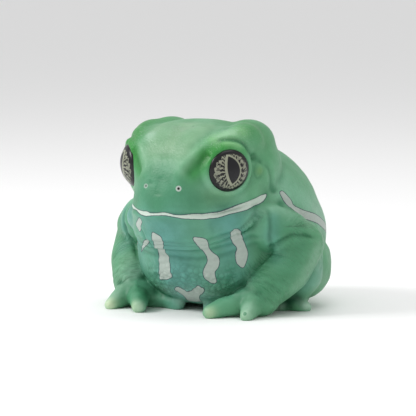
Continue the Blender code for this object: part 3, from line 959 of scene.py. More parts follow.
def band_distance(points, tree, band):
    """Signed distance to a band along a path, whose half width changes along it."""
    chain = smooth_chain(on_surface(tree, band), steps=4)
    distance, share = path_distance(points, chain, FAR_FROM_MARKS)
    stations = np.arange(len(chain)) / (len(chain) - 1)
    return distance - np.interp(share, stations, chain[:, 3])


def spray_share(points, tree, path, reach):
    """How much of a spray lands on each point: all on its path and less beside it."""
    cut = reach * SPRAY_CUT
    distance, _ = path_distance(points, smooth_chain(on_surface(tree, path)), cut)
    return np.exp(-((distance / reach) ** 2)) * (distance < cut)


def best_share(points, tree, paths, reach):
    """The largest share that any of a few sprays on both sides lands on each point."""
    share = np.zeros(len(points))
    for path in paths:
        for side in sides_of(path):
            share = np.maximum(share, spray_share(points, tree, side, reach))
    return share


def mark_distances(points, tree):
    """Distance to the nearest printed mark, and to the lip band."""
    marks = [outline_distance(points, tree, outline) for outline in OUTLINES.values()]
    twin = [
        tuple(np.array(place) + FAR_STRIPE_SHIFT)
        for place in other_side(OUTLINES["outer chest stripe"])
    ]
    marks.append(outline_distance(points, tree, twin))
    marks += [band_distance(points, tree, side) for side in sides_of(FLANK_BAND)]
    return np.min(marks, axis=0), band_distance(points, tree, LIP_BAND)


def crossing_rings(points):
    """How far along the wrinkled lines each point lies, and how much it is wrinkled."""
    along = np.zeros(len(points))
    wrinkled = np.zeros(len(points))
    for line, reach, closeness in RING_LINES:
        for side in sides_of(line):
            chain = smooth_chain(side)
            length = np.linalg.norm(np.diff(chain, axis=0), axis=1).sum()
            distance, share = path_distance(points, chain, reach)
            inner = np.minimum(ease(share, 0, RING_ENDS), 1 - ease(share, 1 - RING_ENDS, 1))
            fit = inner * (1 - ease(distance, RING_SIDES * reach, reach))
            along = np.where(fit > wrinkled, share * length * closeness, along)
            wrinkled = np.maximum(wrinkled, fit)
    return along, wrinkled


def paint_colours(points, normals, edges, tree, settings):
    """Each point's paint: the base green, the sprays over it, painted shade in the folds and a
    painted highlight on standing edges.
    """
    colours = np.tile(np.array(settings.green), (len(points), 1))
    jobs = [(paint, side, reach, strength)
            for paint, path, reach, strength in SPRAYS for side in sides_of(path)]
    for paint, path, reach, strength in jobs + ONE_SIDE_SPRAYS:
        share = strength * spray_share(points, tree, path, reach)[:, None]
        colours += (np.array(getattr(settings, paint)) - colours) * share
    # Painted shade in the folds and a painted highlight on standing edges
    even = np.full(len(points), FULL_SMOOTHING)
    soft = relax(points, edges, even, CREASE_SPREAD)
    hollow = ((soft - points) * normals).sum(axis=1) / CREASE_DEPTH
    shade = (CREASE_SHADE * np.clip(hollow, 0.0, 1.0))[:, None]
    colours *= 1 - shade * (1 - np.array(settings.crease))
    lit = 1 + EDGE_LIGHT * np.clip(-hollow, 0.0, 1.0)[:, None]
    return np.clip(colours * lit, 0.0, 1.0)


# Node trees
class Nodes:
    """Short calls that add nodes to a tree and join them."""

    def __init__(self, tree):
        self.tree = tree

    def add(self, kind, inputs=(), **settings):
        node = self.tree.nodes.new(kind)
        for name, value in settings.items():
            setattr(node, name, value)
        for key, value in dict(inputs).items():
            self.feed(node.inputs[key], value)
        return node

    def feed(self, socket, value):
        if isinstance(value, bpy.types.NodeSocket):
            self.tree.links.new(value, socket)
        else:
            socket.default_value = value

    def math(self, operation, *values):
        return self.add("ShaderNodeMath", enumerate(values), operation=operation).outputs[0]

    def vector(self, operation, *values):
        node = self.add("ShaderNodeVectorMath", enumerate(values), operation=operation)
        return node.outputs["Value" if operation in ("LENGTH", "DISTANCE") else "Vector"]

    def scaled(self, vector, factor):
        return self.add(
            "ShaderNodeVectorMath", {"Vector": vector, "Scale": factor}, operation="SCALE"
        ).outputs["Vector"]

    def step(self, value, start, end):
        """0 where the value is at start, 1 at end, smooth between."""
        inputs = {0: value, 1: start, 2: end}
        return self.add("ShaderNodeMapRange", inputs, interpolation_type="SMOOTHSTEP").outputs[0]

    def mix(self, share, first, second, **settings):
        inputs = {0: share, 6: first, 7: second}
        return self.add("ShaderNodeMix", inputs, data_type="RGBA", **settings).outputs[2]

    def times(self, *values):
        """The product of several values."""
        product = values[0]
        for value in values[1:]:
            product = self.math("MULTIPLY", product, value)
        return product

    def joined(self, across, along=0.0):
        """A vector from two numbers."""
        return self.add("ShaderNodeCombineXYZ", {0: across, 1: along}).outputs[0]

    def noise(self, place, scale, detail=2.0, output="Fac"):
        inputs = {"Vector": place, "Scale": scale, "Detail": detail}
        return self.add("ShaderNodeTexNoise", inputs).outputs[output]

    def voronoi(self, place, scale, feature="F1"):
        inputs = {"Vector": place, "Scale": scale}
        return self.add("ShaderNodeTexVoronoi", inputs, feature=feature).outputs["Distance"]

    def attribute(self, name, output="Fac"):
        return self.add("ShaderNodeAttribute", attribute_name=name).outputs[output]

    def bump(self, strength, distance, height):
        inputs = {"Strength": strength, "Distance": distance, "Height": height}
        return self.add("ShaderNodeBump", inputs).outputs[0]

    def group(self, group, inputs):
        node = self.add("ShaderNodeGroup", node_tree=group)
        for key, value in inputs.items():
            self.feed(node.inputs[key], value)
        return node.outputs


def opaque(colour):
    return (*colour, 1.0)


def make_group(kind, name, inputs, outputs):
    """An empty node group with its sockets, and its inner input and output nodes."""
    tree = bpy.data.node_groups.new(name, kind)
    for direction, sockets in (("INPUT", inputs), ("OUTPUT", outputs)):
        for label, socket in sockets.items():
            tree.interface.new_socket(label, in_out=direction, socket_type=f"NodeSocket{socket}")
    nodes = Nodes(tree)
    return nodes, nodes.add("NodeGroupInput").outputs, nodes.add("NodeGroupOutput").inputs


# Half the width over which a printed shape's edge softens, and a line's or a spot's edge
PRINT_SOFTNESS = 0.1
LINE_SOFTNESS = 0.12
# Soft textures, here and below: spots to a millimetre, and how much detail they have
EDGE_WAVES = (1.1, 3.0)
FINE_GRAIN = (1.6, 3.0)
DULL_PATCHES = (0.12, 2.0)
# Pebbles to a millimetre in the grain, and their height beside the fine grain's
PEBBLES = 0.8
PEBBLE_HEIGHT = 0.8
# How much the roughness changes between its patches
PATCH_CHANGE = 0.2


def printed_group():
    """Fill and outline of a printed shape from the distance to its edge, in millimetres."""
    inputs = {"Distance": "Float", "Place": "Vector", "Waver": "Float", "Line": "Float"}
    nodes, given, result = make_group(
        "ShaderNodeTree", "Printed Shape", inputs, {"Fill": "Float", "Outline": "Float"}
    )
    waver = nodes.math("SUBTRACT", nodes.noise(given["Place"], *EDGE_WAVES), 0.5)
    edge = nodes.math("MULTIPLY_ADD", waver, given["Waver"], given["Distance"])
    nodes.feed(result["Fill"], nodes.step(edge, PRINT_SOFTNESS, -PRINT_SOFTNESS))
    outer = nodes.math("ADD", given["Line"], LINE_SOFTNESS)
    inner = nodes.math("SUBTRACT", given["Line"], LINE_SOFTNESS)
    nodes.feed(result["Outline"], nodes.step(edge, outer, inner))
    return nodes.tree


def spot_group():
    """A round spot with a soft edge, in millimetres."""
    inputs = {"Place": "Vector", "Middle": "Vector", "Radius": "Float"}
    nodes, given, result = make_group("ShaderNodeTree", "Spot", inputs, {"Mask": "Float"})
    away = nodes.vector("DISTANCE", given["Place"], given["Middle"])
    gap = nodes.math("SUBTRACT", away, given["Radius"])
    nodes.feed(result["Mask"], nodes.step(gap, LINE_SOFTNESS, -LINE_SOFTNESS))
    return nodes.tree


def grain_group():
    """Fine grain of moulded and painted plastic: a height and a change of roughness."""
    inputs = {"Place": "Vector", "Size": "Float", "Roughness": "Float"}
    nodes, given, result = make_group(
        "ShaderNodeTree", "Moulded Grain", inputs, {"Height": "Float", "Roughness": "Float"}
    )
    place = nodes.scaled(given["Place"], nodes.math("DIVIDE", 1.0, given["Size"]))
    pebbles = nodes.voronoi(place, PEBBLES, "SMOOTH_F1")
    fine = nodes.noise(place, *FINE_GRAIN)
    nodes.feed(result["Height"], nodes.math("MULTIPLY_ADD", pebbles, PEBBLE_HEIGHT, fine))
    patches = nodes.math("SUBTRACT", nodes.noise(place, *DULL_PATCHES), 0.5)
    roughness = nodes.math("MULTIPLY_ADD", patches, PATCH_CHANGE, given["Roughness"])
    nodes.feed(result["Roughness"], roughness)
    return nodes.tree


# A cobble rises from the first of these distances from its middle to the second, in its
# own widths, and the skin's level lies at this share of its height
COBBLE_SLOPE = (0.62, 0.15)
COBBLE_LEVEL = 0.45
# How softly neighbouring cobbles run together
COBBLE_SOFTNESS = 0.35
# How fine the unevenness is, in spots to a metre, and its fixed seed
UNEVEN_SCALE = 170.0
UNEVEN_SEED = 3.0


def relief_tree():
    """Geometry nodes that raise the belly's cobbles and a soft unevenness all over."""
    inputs = {
        "Geometry": "Geometry", "Material": "Material", "Cobble Size": "Float",
        "Cobble Height": "Float", "Unevenness": "Float", "Seed": "Float",
    }
    nodes, given, result = make_group(
        "GeometryNodeTree", "Skin Relief", inputs, {"Geometry": "Geometry"}
    )
    position = nodes.add("GeometryNodeInputPosition").outputs[0]
    normal = nodes.add("GeometryNodeInputNormal").outputs[0]
    named = nodes.add("GeometryNodeInputNamedAttribute", {"Name": "cobble"}, data_type="FLOAT")
    share = named.outputs["Attribute"]
    warp = nodes.noise(position, COBBLE_SHAKE_SCALE / MM, 1.0, "Color")
    shaken = nodes.vector("ADD", position, nodes.scaled(warp, COBBLE_SHAKE * MM))
    density = nodes.math("DIVIDE", 1.0, given["Cobble Size"])
    cells = {"Vector": shaken, "Scale": density, "Smoothness": COBBLE_SOFTNESS}
    gap = nodes.add("ShaderNodeTexVoronoi", cells, feature="SMOOTH_F1").outputs["Distance"]
    bump = nodes.math("SUBTRACT", nodes.step(gap, *COBBLE_SLOPE), COBBLE_LEVEL)
    bump = nodes.math("MULTIPLY", bump, given["Cobble Height"])
    uneven = {"Vector": position, "W": given["Seed"], "Scale": UNEVEN_SCALE, "Detail": 2.0}
    swell = nodes.add("ShaderNodeTexNoise", uneven, noise_dimensions="4D").outputs[0]
    swell = nodes.math("MULTIPLY", nodes.math("SUBTRACT", swell, 0.5), given["Unevenness"])
    offset = nodes.scaled(normal, nodes.math("MULTIPLY_ADD", bump, share, swell))
    moved = {"Geometry": given["Geometry"], "Offset": offset}
    moved = nodes.add("GeometryNodeSetPosition", moved).outputs[0]
    real = nodes.add("GeometryNodeRealizeInstances", {"Geometry": moved}).outputs[0]
    finished = {"Geometry": real, "Material": given["Material"]}
    finished = nodes.add("GeometryNodeSetMaterial", finished).outputs[0]
    nodes.feed(result["Geometry"], finished)
    return nodes.tree


def raise_relief(skin, material, settings):
    """Run the relief's geometry nodes on the skin and keep the result as a plain mesh."""
    values = {
        "Material": material, "Cobble Size": settings.cobble_size,
        "Cobble Height": settings.cobble_height, "Unevenness": settings.unevenness,
        "Seed": UNEVEN_SEED,
    }
    tree = relief_tree()
    relief = skin.modifiers.new("Relief", "NODES")
    relief.node_group = tree
    for socket in tree.interface.items_tree:
        if socket.in_out == "INPUT" and socket.name in values:
            relief[socket.identifier] = values[socket.name]
    make_real(skin)


# Materials: soft textures of the skin
CLOUDS = (0.16, 3.0)
SPECKLES = (1.5, 2.0)
GLINTS = (1.7, 1.0)
PRINT_PATCHES = (0.7, 3.0)
UPRIGHT_LINES = (0.95, 2.0)
CROSS_RINGS = (0.8, 2.0)
# At which of its values, from 0 to 1, a texture starts to show and shows in full
CLOUD_STEP = (0.35, 0.65)
SPECKLE_STEP = (0.62, 0.72)
GLINT_STEP = (0.5, 0.74)
# How the sprayed paint's darker and lighter clouds change it, and how much of them shows
CLOUD_DARK = (0.78, 0.84, 0.78)
CLOUD_LIGHT = (1.14, 1.07, 1.1)
CLOUD_SHARE = 0.45
SPECKLE_SHARE = 0.55
# How strongly the painted highlight speckles show where the paint is glossy, and how much smoother
# that paint is than the rest
GLINT_SHARE = 0.4
GLOSS_POLISH = -0.12
# Half the width of the seams between cobbles, in a cobble's widths, and how much painted shade
# fills them
SEAM_WIDTH = 0.16
SEAM_SHADE = 0.2
# How far a printed edge wavers, and how far outside it its thin line ends
PRINT_WAVER = 0.35
PRINT_LINE = 0.36
# What is printed: the attribute that holds its distance, its paint, and how dull it gets
PRINTS = (("mark", "marking", 0.828), ("lip", "lip", 0.8648))
# Painted shade inside the nostril holes
NOSTRIL_SHADE = (0.005, 0.004, 0.003)
# Each nostril: its place, its printed ring's radius, the radius of the painted shade in its hole,
# and how strongly both show
NOSTRILS = (((10.7, -69.8, 64.3), 1.45, 0.72, 1.0), ((-7.9, -69.8, 64.7), 1.2, 0.6, 0.6))
# The pinholes: their places and radii, and how much painted shade fills them
PINHOLES = (((4.6, -46.1, 93), 0.38), ((10.8, -52.1, 91.9), 0.3))
PINHOLE_SHADE = 0.85
# The round mark on a finger's end: its middle and radius
PLUG_DOT = ((40.0, -56.2, 3.6), 1.0)
PLUG_SHARE = 0.75
# Heights of the fine relief, in heights of the grain
LINE_HEIGHT = 5.0
RING_HEIGHT = 13.0
GLINT_HEIGHT = 2.0
SEAM_HEIGHT = -1.5
# How much the upright lines are drawn out, and how far the rings drift with the place
LINE_STRETCH = (1.0, 1.0, 0.28)
RING_DRIFT = 0.2
# Size of the grain, and how strongly the relief and the shine show
SKIN_GRAIN = 1.0
SKIN_BUMP = 0.75
SKIN_SPECULAR = 0.36


def new_material(name):
    """A new material, its tree's short calls and its surface shader."""
    material = bpy.data.materials.new(name)
    material.use_nodes = True
    nodes = Nodes(material.node_tree)
    return material, nodes, material.node_tree.nodes["Principled BSDF"]


def place_in_millimetres(nodes):
    place = nodes.add("ShaderNodeTexCoord").outputs["Object"]
    return nodes.scaled(place, 1.0 / MM)


def sprayed_colour(nodes, place):
    """The paint of the skin's points, with soft clouds and small speckles in it."""
    paint = nodes.attribute("paint", "Color")
    dark = nodes.mix(1.0, paint, opaque(CLOUD_DARK), blend_type="MULTIPLY")
    light = nodes.mix(1.0, paint, opaque(CLOUD_LIGHT), blend_type="MULTIPLY")
    cloudy = nodes.step(nodes.noise(place, *CLOUDS), *CLOUD_STEP)
    colour = nodes.mix(CLOUD_SHARE, paint, nodes.mix(cloudy, dark, light))
    speckle = nodes.step(nodes.noise(place, *SPECKLES), *SPECKLE_STEP)
    return nodes.mix(nodes.times(speckle, SPECKLE_SHARE), colour, dark)


def cobble_seams(nodes, place, size):
    """Where the seams between the cobbles run, in the same pattern as their relief."""
    warp = nodes.noise(place, COBBLE_SHAKE_SCALE, 1.0, "Color")
    shaken = nodes.vector("ADD", place, nodes.scaled(warp, COBBLE_SHAKE))
    seam = nodes.voronoi(shaken, MM / size, "DISTANCE_TO_EDGE")
    return nodes.times(nodes.step(seam, SEAM_WIDTH, 0.0), nodes.attribute("cobble"))


def printed_colour(nodes, place, colour, paints, printed_shape):
    """A colour with the marks, the stripes and the lip printed over it."""
    for attribute, name, dull in PRINTS:
        printed = nodes.group(printed_shape, {
            "Distance": nodes.attribute(attribute), "Place": place,
            "Waver": PRINT_WAVER, "Line": PRINT_LINE,
        })
        colour = nodes.mix(printed["Outline"], colour, opaque(paints.outline))
        pale = getattr(paints, name)
        patches = opaque([part * dull for part in pale])
        fill = nodes.mix(nodes.noise(place, *PRINT_PATCHES), opaque(pale), patches)
        colour = nodes.mix(printed["Fill"], colour, fill)
    return colour


def spotted_colour(nodes, place, colour, paints, spot):
    """A colour with the nostrils' printed rings, painted shade in their holes and in the pinholes,
    and the finger's dot over it.
    """
    spots = [(*PLUG_DOT, paints.moss, PLUG_SHARE)]
    spots += [(*hole, paints.painted_shade, PINHOLE_SHADE) for hole in PINHOLES]
    for middle, ring, hole, strength in NOSTRILS:
        spots.append((middle, ring, paints.marking, strength))
        spots.append((middle, hole, NOSTRIL_SHADE, strength))
    for middle, radius, tint, strength in spots:
        mask = nodes.group(spot, {"Place": place, "Middle": middle, "Radius": radius})["Mask"]
        colour = nodes.mix(nodes.times(mask, strength), colour, opaque(tint))
    return colour


def wrinkle_height(nodes, place):
    """Fine upright lines on the flanks and back, and rings across the arms and throat."""
    tall = nodes.noise(nodes.vector("MULTIPLY", place, LINE_STRETCH), *UPRIGHT_LINES)
    lines = nodes.times(tall, LINE_HEIGHT, nodes.attribute("wrinkle"))
    along = nodes.joined(nodes.attribute("along"))
    along = nodes.vector("ADD", nodes.scaled(place, RING_DRIFT), along)
    rings = nodes.times(nodes.noise(along, *CROSS_RINGS), nodes.attribute("ringed"))
    return nodes.math("MULTIPLY_ADD", rings, RING_HEIGHT, lines)


def skin_material(settings, paints, groups):
    material, nodes, surface = new_material("painted skin")
    place = place_in_millimetres(nodes)
    gloss = nodes.attribute("gloss")
    glint = nodes.step(nodes.noise(place, *GLINTS), *GLINT_STEP)
    glint = nodes.times(glint, gloss, GLINT_SHARE)
    seam = cobble_seams(nodes, place, settings.cobble_size)
    # Painted highlight: speckles of pale paint where the paint is glossy
    colour = nodes.mix(glint, sprayed_colour(nodes, place), opaque(paints.pale_and_highlight))
    # Painted shade in the seams between the cobbles
    colour = nodes.mix(nodes.times(seam, SEAM_SHADE), colour, opaque(paints.painted_shade))
    colour = printed_colour(nodes, place, colour, paints, groups["printed"])
    colour = spotted_colour(nodes, place, colour, paints, groups["spot"])
    nodes.feed(surface.inputs["Base Color"], colour)
    grain = nodes.group(groups["grain"], {
        "Place": place, "Size": SKIN_GRAIN, "Roughness": settings.roughness,
    })
    roughness = nodes.math("MULTIPLY_ADD", gloss, GLOSS_POLISH, grain["Roughness"])
    nodes.feed(surface.inputs["Roughness"], roughness)
    height = nodes.math("ADD", grain["Height"], wrinkle_height(nodes, place))
    height = nodes.math("MULTIPLY_ADD", glint, GLINT_HEIGHT, height)
    height = nodes.math("MULTIPLY_ADD", seam, SEAM_HEIGHT, height)
    nodes.feed(surface.inputs["Normal"], nodes.bump(SKIN_BUMP, settings.grain, height))
    surface.inputs["Specular IOR Level"].default_value = SKIN_SPECULAR
    return material


# The eye's pattern in millimetres round the dome's middle: x to the front and y up
PUPIL_MIDDLE = (0.65, 0.9)
PUPIL_LENGTH = 6.9
# How far the pupil bulges to the front and to the rear of the line through its tips
PUPIL_BULGES = (2.0, -4.6)
PUPIL_TILT = 10.0
# Width of the pale ring round the pupil, at the front and at the rear
PALE_RING = (1.25, 0.8)
# Between these x its width changes from the rear's to the front's
RING_CHANGE = (-2.0, 2.0)
PUPIL_WAVER = 0.15
# A painted reflection, a darker band, crosses the pupil: its height, where it fades and is full,
# its strength
REFLECTION_HEIGHT = 0.4
REFLECTION_STEP = (0.5, 0.1)
REFLECTION_SHARE = 0.6
# Between these heights the pupil's tips turn darker
TIP_STEP = (4.0, 6.4)
# Soft textures of the iris
IRIS_WAVES = (0.9, 2.0)
IRIS_PATCHES = (0.5, 3.0)
VEIN_STREAKS = (1.3, 3.0)
# How dull the iris gets in its patches, and at which distances beyond the pale ring
IRIS_DULL = (0.72, 0.72, 0.78)
DULL_STEP = (0.4, 3.5)
# Radius where the iris ends, how deep its lobes are and how far that edge wavers
IRIS_EDGE = 8.45
LOBE_DEPTH = 0.8
EDGE_WAVER = 1.2
# The iris is counted off in teeth as if it were squeezed upright, and the count wavers
IRIS_SQUEEZE = 0.6
TURN_WAVER = 1.5
# A tooth's share of its place at its root, how much of that the tip loses at least and by
# chance, how far its sides waver, and half the width over which its edge softens
TOOTH_WIDTH = 0.78
TOOTH_TAPER = -0.55
TOOTH_CHANCE = -0.6
TOOTH_WAVER = 0.5
TOOTH_SOFTNESS = 0.08
# Least distance between the pale ring and the iris's edge, for the teeth's length
LEAST_ROOM = 0.4
# Veins: how they are drawn out round and outward, when they show, from where and how much
VEIN_FAN = (2.2, 1.6)
VEIN_STEP = (0.53, 0.62)
VEIN_START = (0.2, 1.0)
VEIN_SHARE = 0.8
# The eye's grain: its size, and its relief's strength and height
EYE_GRAIN = 0.8
EYE_BUMP = (0.3, 0.04)
EYE_ROUGHNESS = 0.3
EYE_SPECULAR = 0.35


def pupil_distance(nodes, turned):
    """Signed distance to the pupil's edge, where two arcs cross."""
    sides = []
    for bulge in PUPIL_BULGES:
        arc = (PUPIL_LENGTH**2 + bulge**2) / (2 * bulge)
        gap = nodes.vector("DISTANCE", turned, (bulge - arc, 0.0, 0.0))
        sides.append(nodes.math("SUBTRACT", gap, abs(arc)))
    return nodes.math("MAXIMUM", *sides)


def iris_turns(nodes, flat, waver, teeth):
    """How many teeth lie between a place and the front, on a wavering count."""
    angle = nodes.math("ARCTAN2", nodes.times(flat[1], IRIS_SQUEEZE), flat[0])
    turns = nodes.times(angle, teeth / (2 * math.pi))
    return nodes.math("MULTIPLY_ADD", waver, TURN_WAVER, turns)


def iris_teeth(nodes, turns, tooth, outward, waver, beyond):
    """Dark teeth round the pale ring, each of its own length."""
    own = {"W": nodes.math("FLOOR", turns)}
    chance = nodes.add("ShaderNodeTexWhiteNoise", own, noise_dimensions="1D").outputs["Value"]
    taper = nodes.math("MULTIPLY_ADD", chance, TOOTH_CHANCE, TOOTH_TAPER)
    wide = nodes.math("ADD", nodes.times(outward, taper), TOOTH_WIDTH)
    wide = nodes.math("MULTIPLY_ADD", waver, TOOTH_WAVER, wide)
    inside = nodes.math("SUBTRACT", wide, tooth)
    inside = nodes.step(inside, -TOOTH_SOFTNESS, TOOTH_SOFTNESS)
    return nodes.times(inside, nodes.step(beyond, -TOOTH_SOFTNESS, TOOTH_SOFTNESS))


def iris_veins(nodes, turns, outward, beyond):
    """Thin dark veins that fan out between the teeth."""
    around, away = VEIN_FAN
    fan = nodes.joined(nodes.times(turns, around), nodes.times(outward, away))
    streak = nodes.step(nodes.noise(fan, *VEIN_STREAKS), *VEIN_STEP)
    return nodes.times(streak, nodes.step(beyond, *VEIN_START))


def iris_border(nodes, radius, tooth, waver):
    """The black ring round the iris, with a lobed inner edge."""
    lobes = nodes.times(nodes.math("SUBTRACT", tooth, 0.5), LOBE_DEPTH)
    edge = nodes.math("ADD", nodes.math("SUBTRACT", radius, IRIS_EDGE), lobes)
    edge = nodes.math("MULTIPLY_ADD", waver, EDGE_WAVER, edge)
    return nodes.step(edge, -LINE_SOFTNESS, LINE_SOFTNESS)


def pupil_colour(nodes, height, pupil, rim):
    """The pupil's black, with a painted reflection band across it and its tips in the rim's black.
    """
    # Painted reflection: a darker band across the pupil
    band = nodes.math("ABSOLUTE", nodes.math("SUBTRACT", height, REFLECTION_HEIGHT))
    band = nodes.times(nodes.step(band, *REFLECTION_STEP), REFLECTION_SHARE)
    tips = nodes.step(nodes.math("ABSOLUTE", height), *TIP_STEP)
    return nodes.mix(nodes.math("MAXIMUM", band, tips), pupil, rim)


def eye_material(settings, groups):
    material, nodes, surface = new_material("printed eye")
    disc = nodes.add("ShaderNodeUVMap", uv_map="disc").outputs[0]
    disc = nodes.scaled(nodes.vector("SUBTRACT", disc, (0.5, 0.5, 0.0)), EYE_MAP)
    radius = nodes.vector("LENGTH", disc)
    centred = nodes.vector("SUBTRACT", disc, (*PUPIL_MIDDLE, 0.0))
    turned = nodes.add(
        "ShaderNodeVectorRotate", {"Vector": centred, "Angle": math.radians(PUPIL_TILT)},
        rotation_type="Z_AXIS",
    ).outputs[0]
    lens = pupil_distance(nodes, turned)
    flat = nodes.add("ShaderNodeSeparateXYZ", {0: turned}).outputs
    front = nodes.step(flat[0], *RING_CHANGE)
    ring = nodes.math("MULTIPLY_ADD", front, PALE_RING[0] - PALE_RING[1], PALE_RING[1])
    waver = nodes.math("SUBTRACT", nodes.noise(disc, *IRIS_WAVES), 0.5)
    turns = iris_turns(nodes, flat, waver, settings.tooth_count)
    tooth = nodes.math("MULTIPLY_ADD", nodes.math("FRACT", turns), 2.0, -1.0)
    tooth = nodes.math("ABSOLUTE", tooth)
    beyond = nodes.math("SUBTRACT", lens, ring)
    room = nodes.math("ADD", nodes.math("SUBTRACT", IRIS_EDGE, radius), beyond)
    outward = nodes.math("DIVIDE", beyond, nodes.math("MAXIMUM", room, LEAST_ROOM))
    pale, rim = opaque(settings.iris), opaque(settings.rim)
    dull = opaque([part * share for part, share in zip(settings.iris, IRIS_DULL)])
    colour = nodes.mix(nodes.noise(disc, *IRIS_PATCHES), pale, dull)
    colour = nodes.mix(nodes.step(beyond, *DULL_STEP), colour, dull)
    veins = iris_veins(nodes, turns, outward, beyond)
    colour = nodes.mix(nodes.times(veins, VEIN_SHARE), colour, rim)
    teeth = iris_teeth(nodes, turns, tooth, outward, waver, beyond)
    colour = nodes.mix(teeth, colour, rim)
    colour = nodes.mix(iris_border(nodes, radius, tooth, waver), colour, rim)
    printed = nodes.group(groups["printed"], {
        "Distance": lens, "Place": disc, "Waver": PUPIL_WAVER, "Line": 0.0,
    })
    centre = pupil_colour(nodes, flat[1], opaque(settings.pupil), rim)
    colour = nodes.mix(printed["Fill"], colour, centre)
    nodes.feed(surface.inputs["Base Color"], colour)
    grain = nodes.group(groups["grain"], {
        "Place": place_in_millimetres(nodes), "Size": EYE_GRAIN, "Roughness": EYE_ROUGHNESS,
    })
    nodes.feed(surface.inputs["Roughness"], grain["Roughness"])
    strength, height = EYE_BUMP
    bump = nodes.bump(strength, height * MM, grain["Height"])
    nodes.feed(surface.inputs["Normal"], bump)
    surface.inputs["Specular IOR Level"].default_value = EYE_SPECULAR
    return material


def shared_groups():
    """The effects that more than one material uses, built once."""
    made = bpy.data.node_groups
    return {
        "printed": made.get("Printed Shape") or printed_group(),
        "spot": made.get("Spot") or spot_group(),
        "grain": made.get("Moulded Grain") or grain_group(),
    }


# Operators
class FROG_OT_skin(bpy.types.Operator):
    """Make the skin that covers every part of flesh"""

    bl_idname = "frog.skin"
    bl_label = "Frog Skin"

    def execute(self, context):
        settings, paints = context.scene.frog_skin, context.scene.frog_paint
        skin = merge_flesh(settings)
        outer_body(skin)
        shape_skin(skin.data)
        material = skin_material(settings, paints, shared_groups())
        raise_relief(skin, material, settings)
        thin_out(skin, settings.triangles)
        finish_skin(skin.data, paints)
        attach(skin, BODY)
        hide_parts(*FLESH)
        return {"FINISHED"}


def shape_skin(mesh):
    """Smooth the merged parts, seat the eyes, press the folds in and mark the cobbled belly."""
    points = read_points(mesh) / MM
    edges = read_edges(mesh)
    points = smooth_in_place(points, edges, smoothing_strength(points), SMOOTHING_PASSES)
    points = seat_eyes(smooth_face(points, edges))
    write_points(mesh, points * MM)
    tree = surface_tree(mesh)
    for strokes in (HEAD_STROKES, BODY_STROKES, FINE_STROKES):
        points = apply_strokes(mesh, points, tree, strokes)
    points = shape_ears(mesh, points, tree)
    cobbled = best_share(points, tree, COBBLE_PATHS, COBBLE_REACH)
    inside = np.minimum(points[:, 0] - COBBLE_SPAN[0], COBBLE_SPAN[1] - points[:, 0])
    write_attribute(mesh, "cobble", cobbled * np.clip(inside / COBBLE_FADE, 0.0, 1.0))


def finish_skin(mesh, paints):
    """Soften the skin a last time, set it on the floor and paint its points."""
    points = read_points(mesh) / MM
    edges = read_edges(mesh)
    even = np.full(len(points), FULL_SMOOTHING)
    points = smooth_in_place(points, edges, even, LAST_PASSES)
    points[:, 2] = np.maximum(points[:, 2], 0.0)
    write_points(mesh, points * MM)
    tree = surface_tree(mesh)
    colours = paint_colours(points, read_points(mesh, "normal"), edges, tree, paints)
    marks, lip = mark_distances(points, tree)
    write_attribute(mesh, "paint", colours)
    write_attribute(mesh, "mark", marks)
    write_attribute(mesh, "lip", lip)
    along, ringed = crossing_rings(points)
    write_attribute(mesh, "along", along)
    write_attribute(mesh, "ringed", ringed)
    write_attribute(mesh, "gloss", best_share(points, tree, GLOSS_PATHS, GLOSS_REACH))
    write_attribute(mesh, "wrinkle", best_share(points, tree, WRINKLE_PATHS, WRINKLE_REACH))
    mesh.shade_smooth()


class FROG_OT_eyes(bpy.types.Operator):
    """Make the two printed domes of the eyes"""

    bl_idname = "frog.eyes"
    bl_label = "Frog Eyes"

    def execute(self, context):
        material = eye_material(context.scene.frog_eye, shared_groups())
        for name in EYES:
            dome = make_eye(name)
            dome.data.materials.append(material)
            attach(dome, BODY)
            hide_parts(name)
        return {"FINISHED"}


# Soft square lights: where each stands, its size and its power, in metres and watts
LIGHTS = {
    "key": ((-0.72, -0.66, 0.78), 0.42, 7.7),
    "top": ((0.1, 0.1, 1.2), 0.8, 4.0),
}
# Where both lights look, near the frog's middle
LIGHTS_AIM = (0, -0.03, 0.05)
# The floor: half the length of a side, how pale it is and how dull
FLOOR_HALF = 60.0
FLOOR_GREY = 0.93
FLOOR_ROUGHNESS = 0.7


class FROG_OT_stage(bpy.types.Operator):
    """Make the floor, the soft lights and the camera"""

    bl_idname = "frog.stage"
    bl_label = "Frog Stage"

    def execute(self, context):
        settings = context.scene.frog_stage
        add_floor()
        for name, (place, size, power) in LIGHTS.items():
            add_light(name, place, size, power)
        add_world(settings.ambient)
        add_camera(settings)
        context.scene.view_settings.view_transform = "Standard"
        return {"FINISHED"}


def add_floor():
    mesh = bpy.data.meshes.new("floor")
    half = FLOOR_HALF
    corners = [(-half, -half, 0), (half, -half, 0), (half, half, 0), (-half, half, 0)]
    mesh.from_pydata(corners, [], [(0, 1, 2, 3)])
    floor = link("floor", mesh)
    material, _, surface = new_material("floor")
    surface.inputs["Base Color"].default_value = opaque([FLOOR_GREY] * 3)
    surface.inputs["Roughness"].default_value = FLOOR_ROUGHNESS
    mesh.materials.append(material)


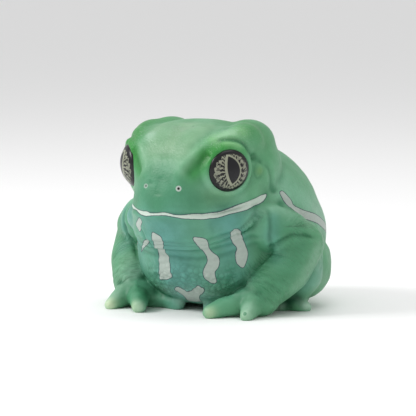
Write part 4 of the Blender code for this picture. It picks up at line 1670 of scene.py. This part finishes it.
def add_light(name, place, size, power):
    """A square soft light."""
    light = bpy.data.lights.new(name, "AREA")
    light.size = size
    light.energy = power
    thing = link(name, light)
    thing.location = place
    view = Vector(LIGHTS_AIM) - thing.location
    thing.rotation_euler = view.to_track_quat("-Z", "Y").to_euler()


def add_world(strength):
    world = bpy.data.worlds.new("studio")
    bpy.context.scene.world = world
    world.use_nodes = True
    background = world.node_tree.nodes["Background"]
    background.inputs["Color"].default_value = (1.0, 1.0, 1.0, 1.0)
    background.inputs["Strength"].default_value = strength


def add_camera(settings):
    camera = bpy.data.cameras.new("camera")
    camera.lens = settings.lens
    camera.clip_start = 0.01
    thing = link("camera", camera)
    level = math.cos(settings.elevation)
    back = Vector((
        math.sin(settings.azimuth) * level,
        -math.cos(settings.azimuth) * level,
        math.sin(settings.elevation),
    ))
    thing.location = Vector(settings.aim) + back * settings.distance
    thing.rotation_euler = (-back).to_track_quat("-Z", "Y").to_euler()
    bpy.context.scene.camera = thing


class FROG_PT_panel(bpy.types.Panel):
    bl_label = "Sitting Tree Frog"
    bl_idname = "FROG_PT_panel"
    bl_space_type = "VIEW_3D"
    bl_region_type = "UI"
    bl_category = "Frog"

    def draw(self, context):
        layout = self.layout
        layout.operator(FROG_OT_skin.bl_idname)
        layout.operator(FROG_OT_eyes.bl_idname)
        layout.operator(FROG_OT_stage.bl_idname)


SETTINGS = {
    "frog_stage": FrogStageSettings,
    "frog_skin": FrogSkinSettings,
    "frog_paint": FrogPaintSettings,
    "frog_eye": FrogEyeSettings,
}
CLASSES = (*SETTINGS.values(), FROG_OT_skin, FROG_OT_eyes, FROG_OT_stage, FROG_PT_panel)


def register():
    for made in CLASSES:
        bpy.utils.register_class(made)
    for name, group in SETTINGS.items():
        setattr(bpy.types.Scene, name, bpy.props.PointerProperty(type=group))


def unregister():
    for name in SETTINGS:
        delattr(bpy.types.Scene, name)
    for made in reversed(CLASSES):
        bpy.utils.unregister_class(made)


def main():
    register()
    bpy.ops.frog.skin()
    bpy.ops.frog.eyes()
    bpy.ops.frog.stage()


if __name__ == "__main__":
    main()
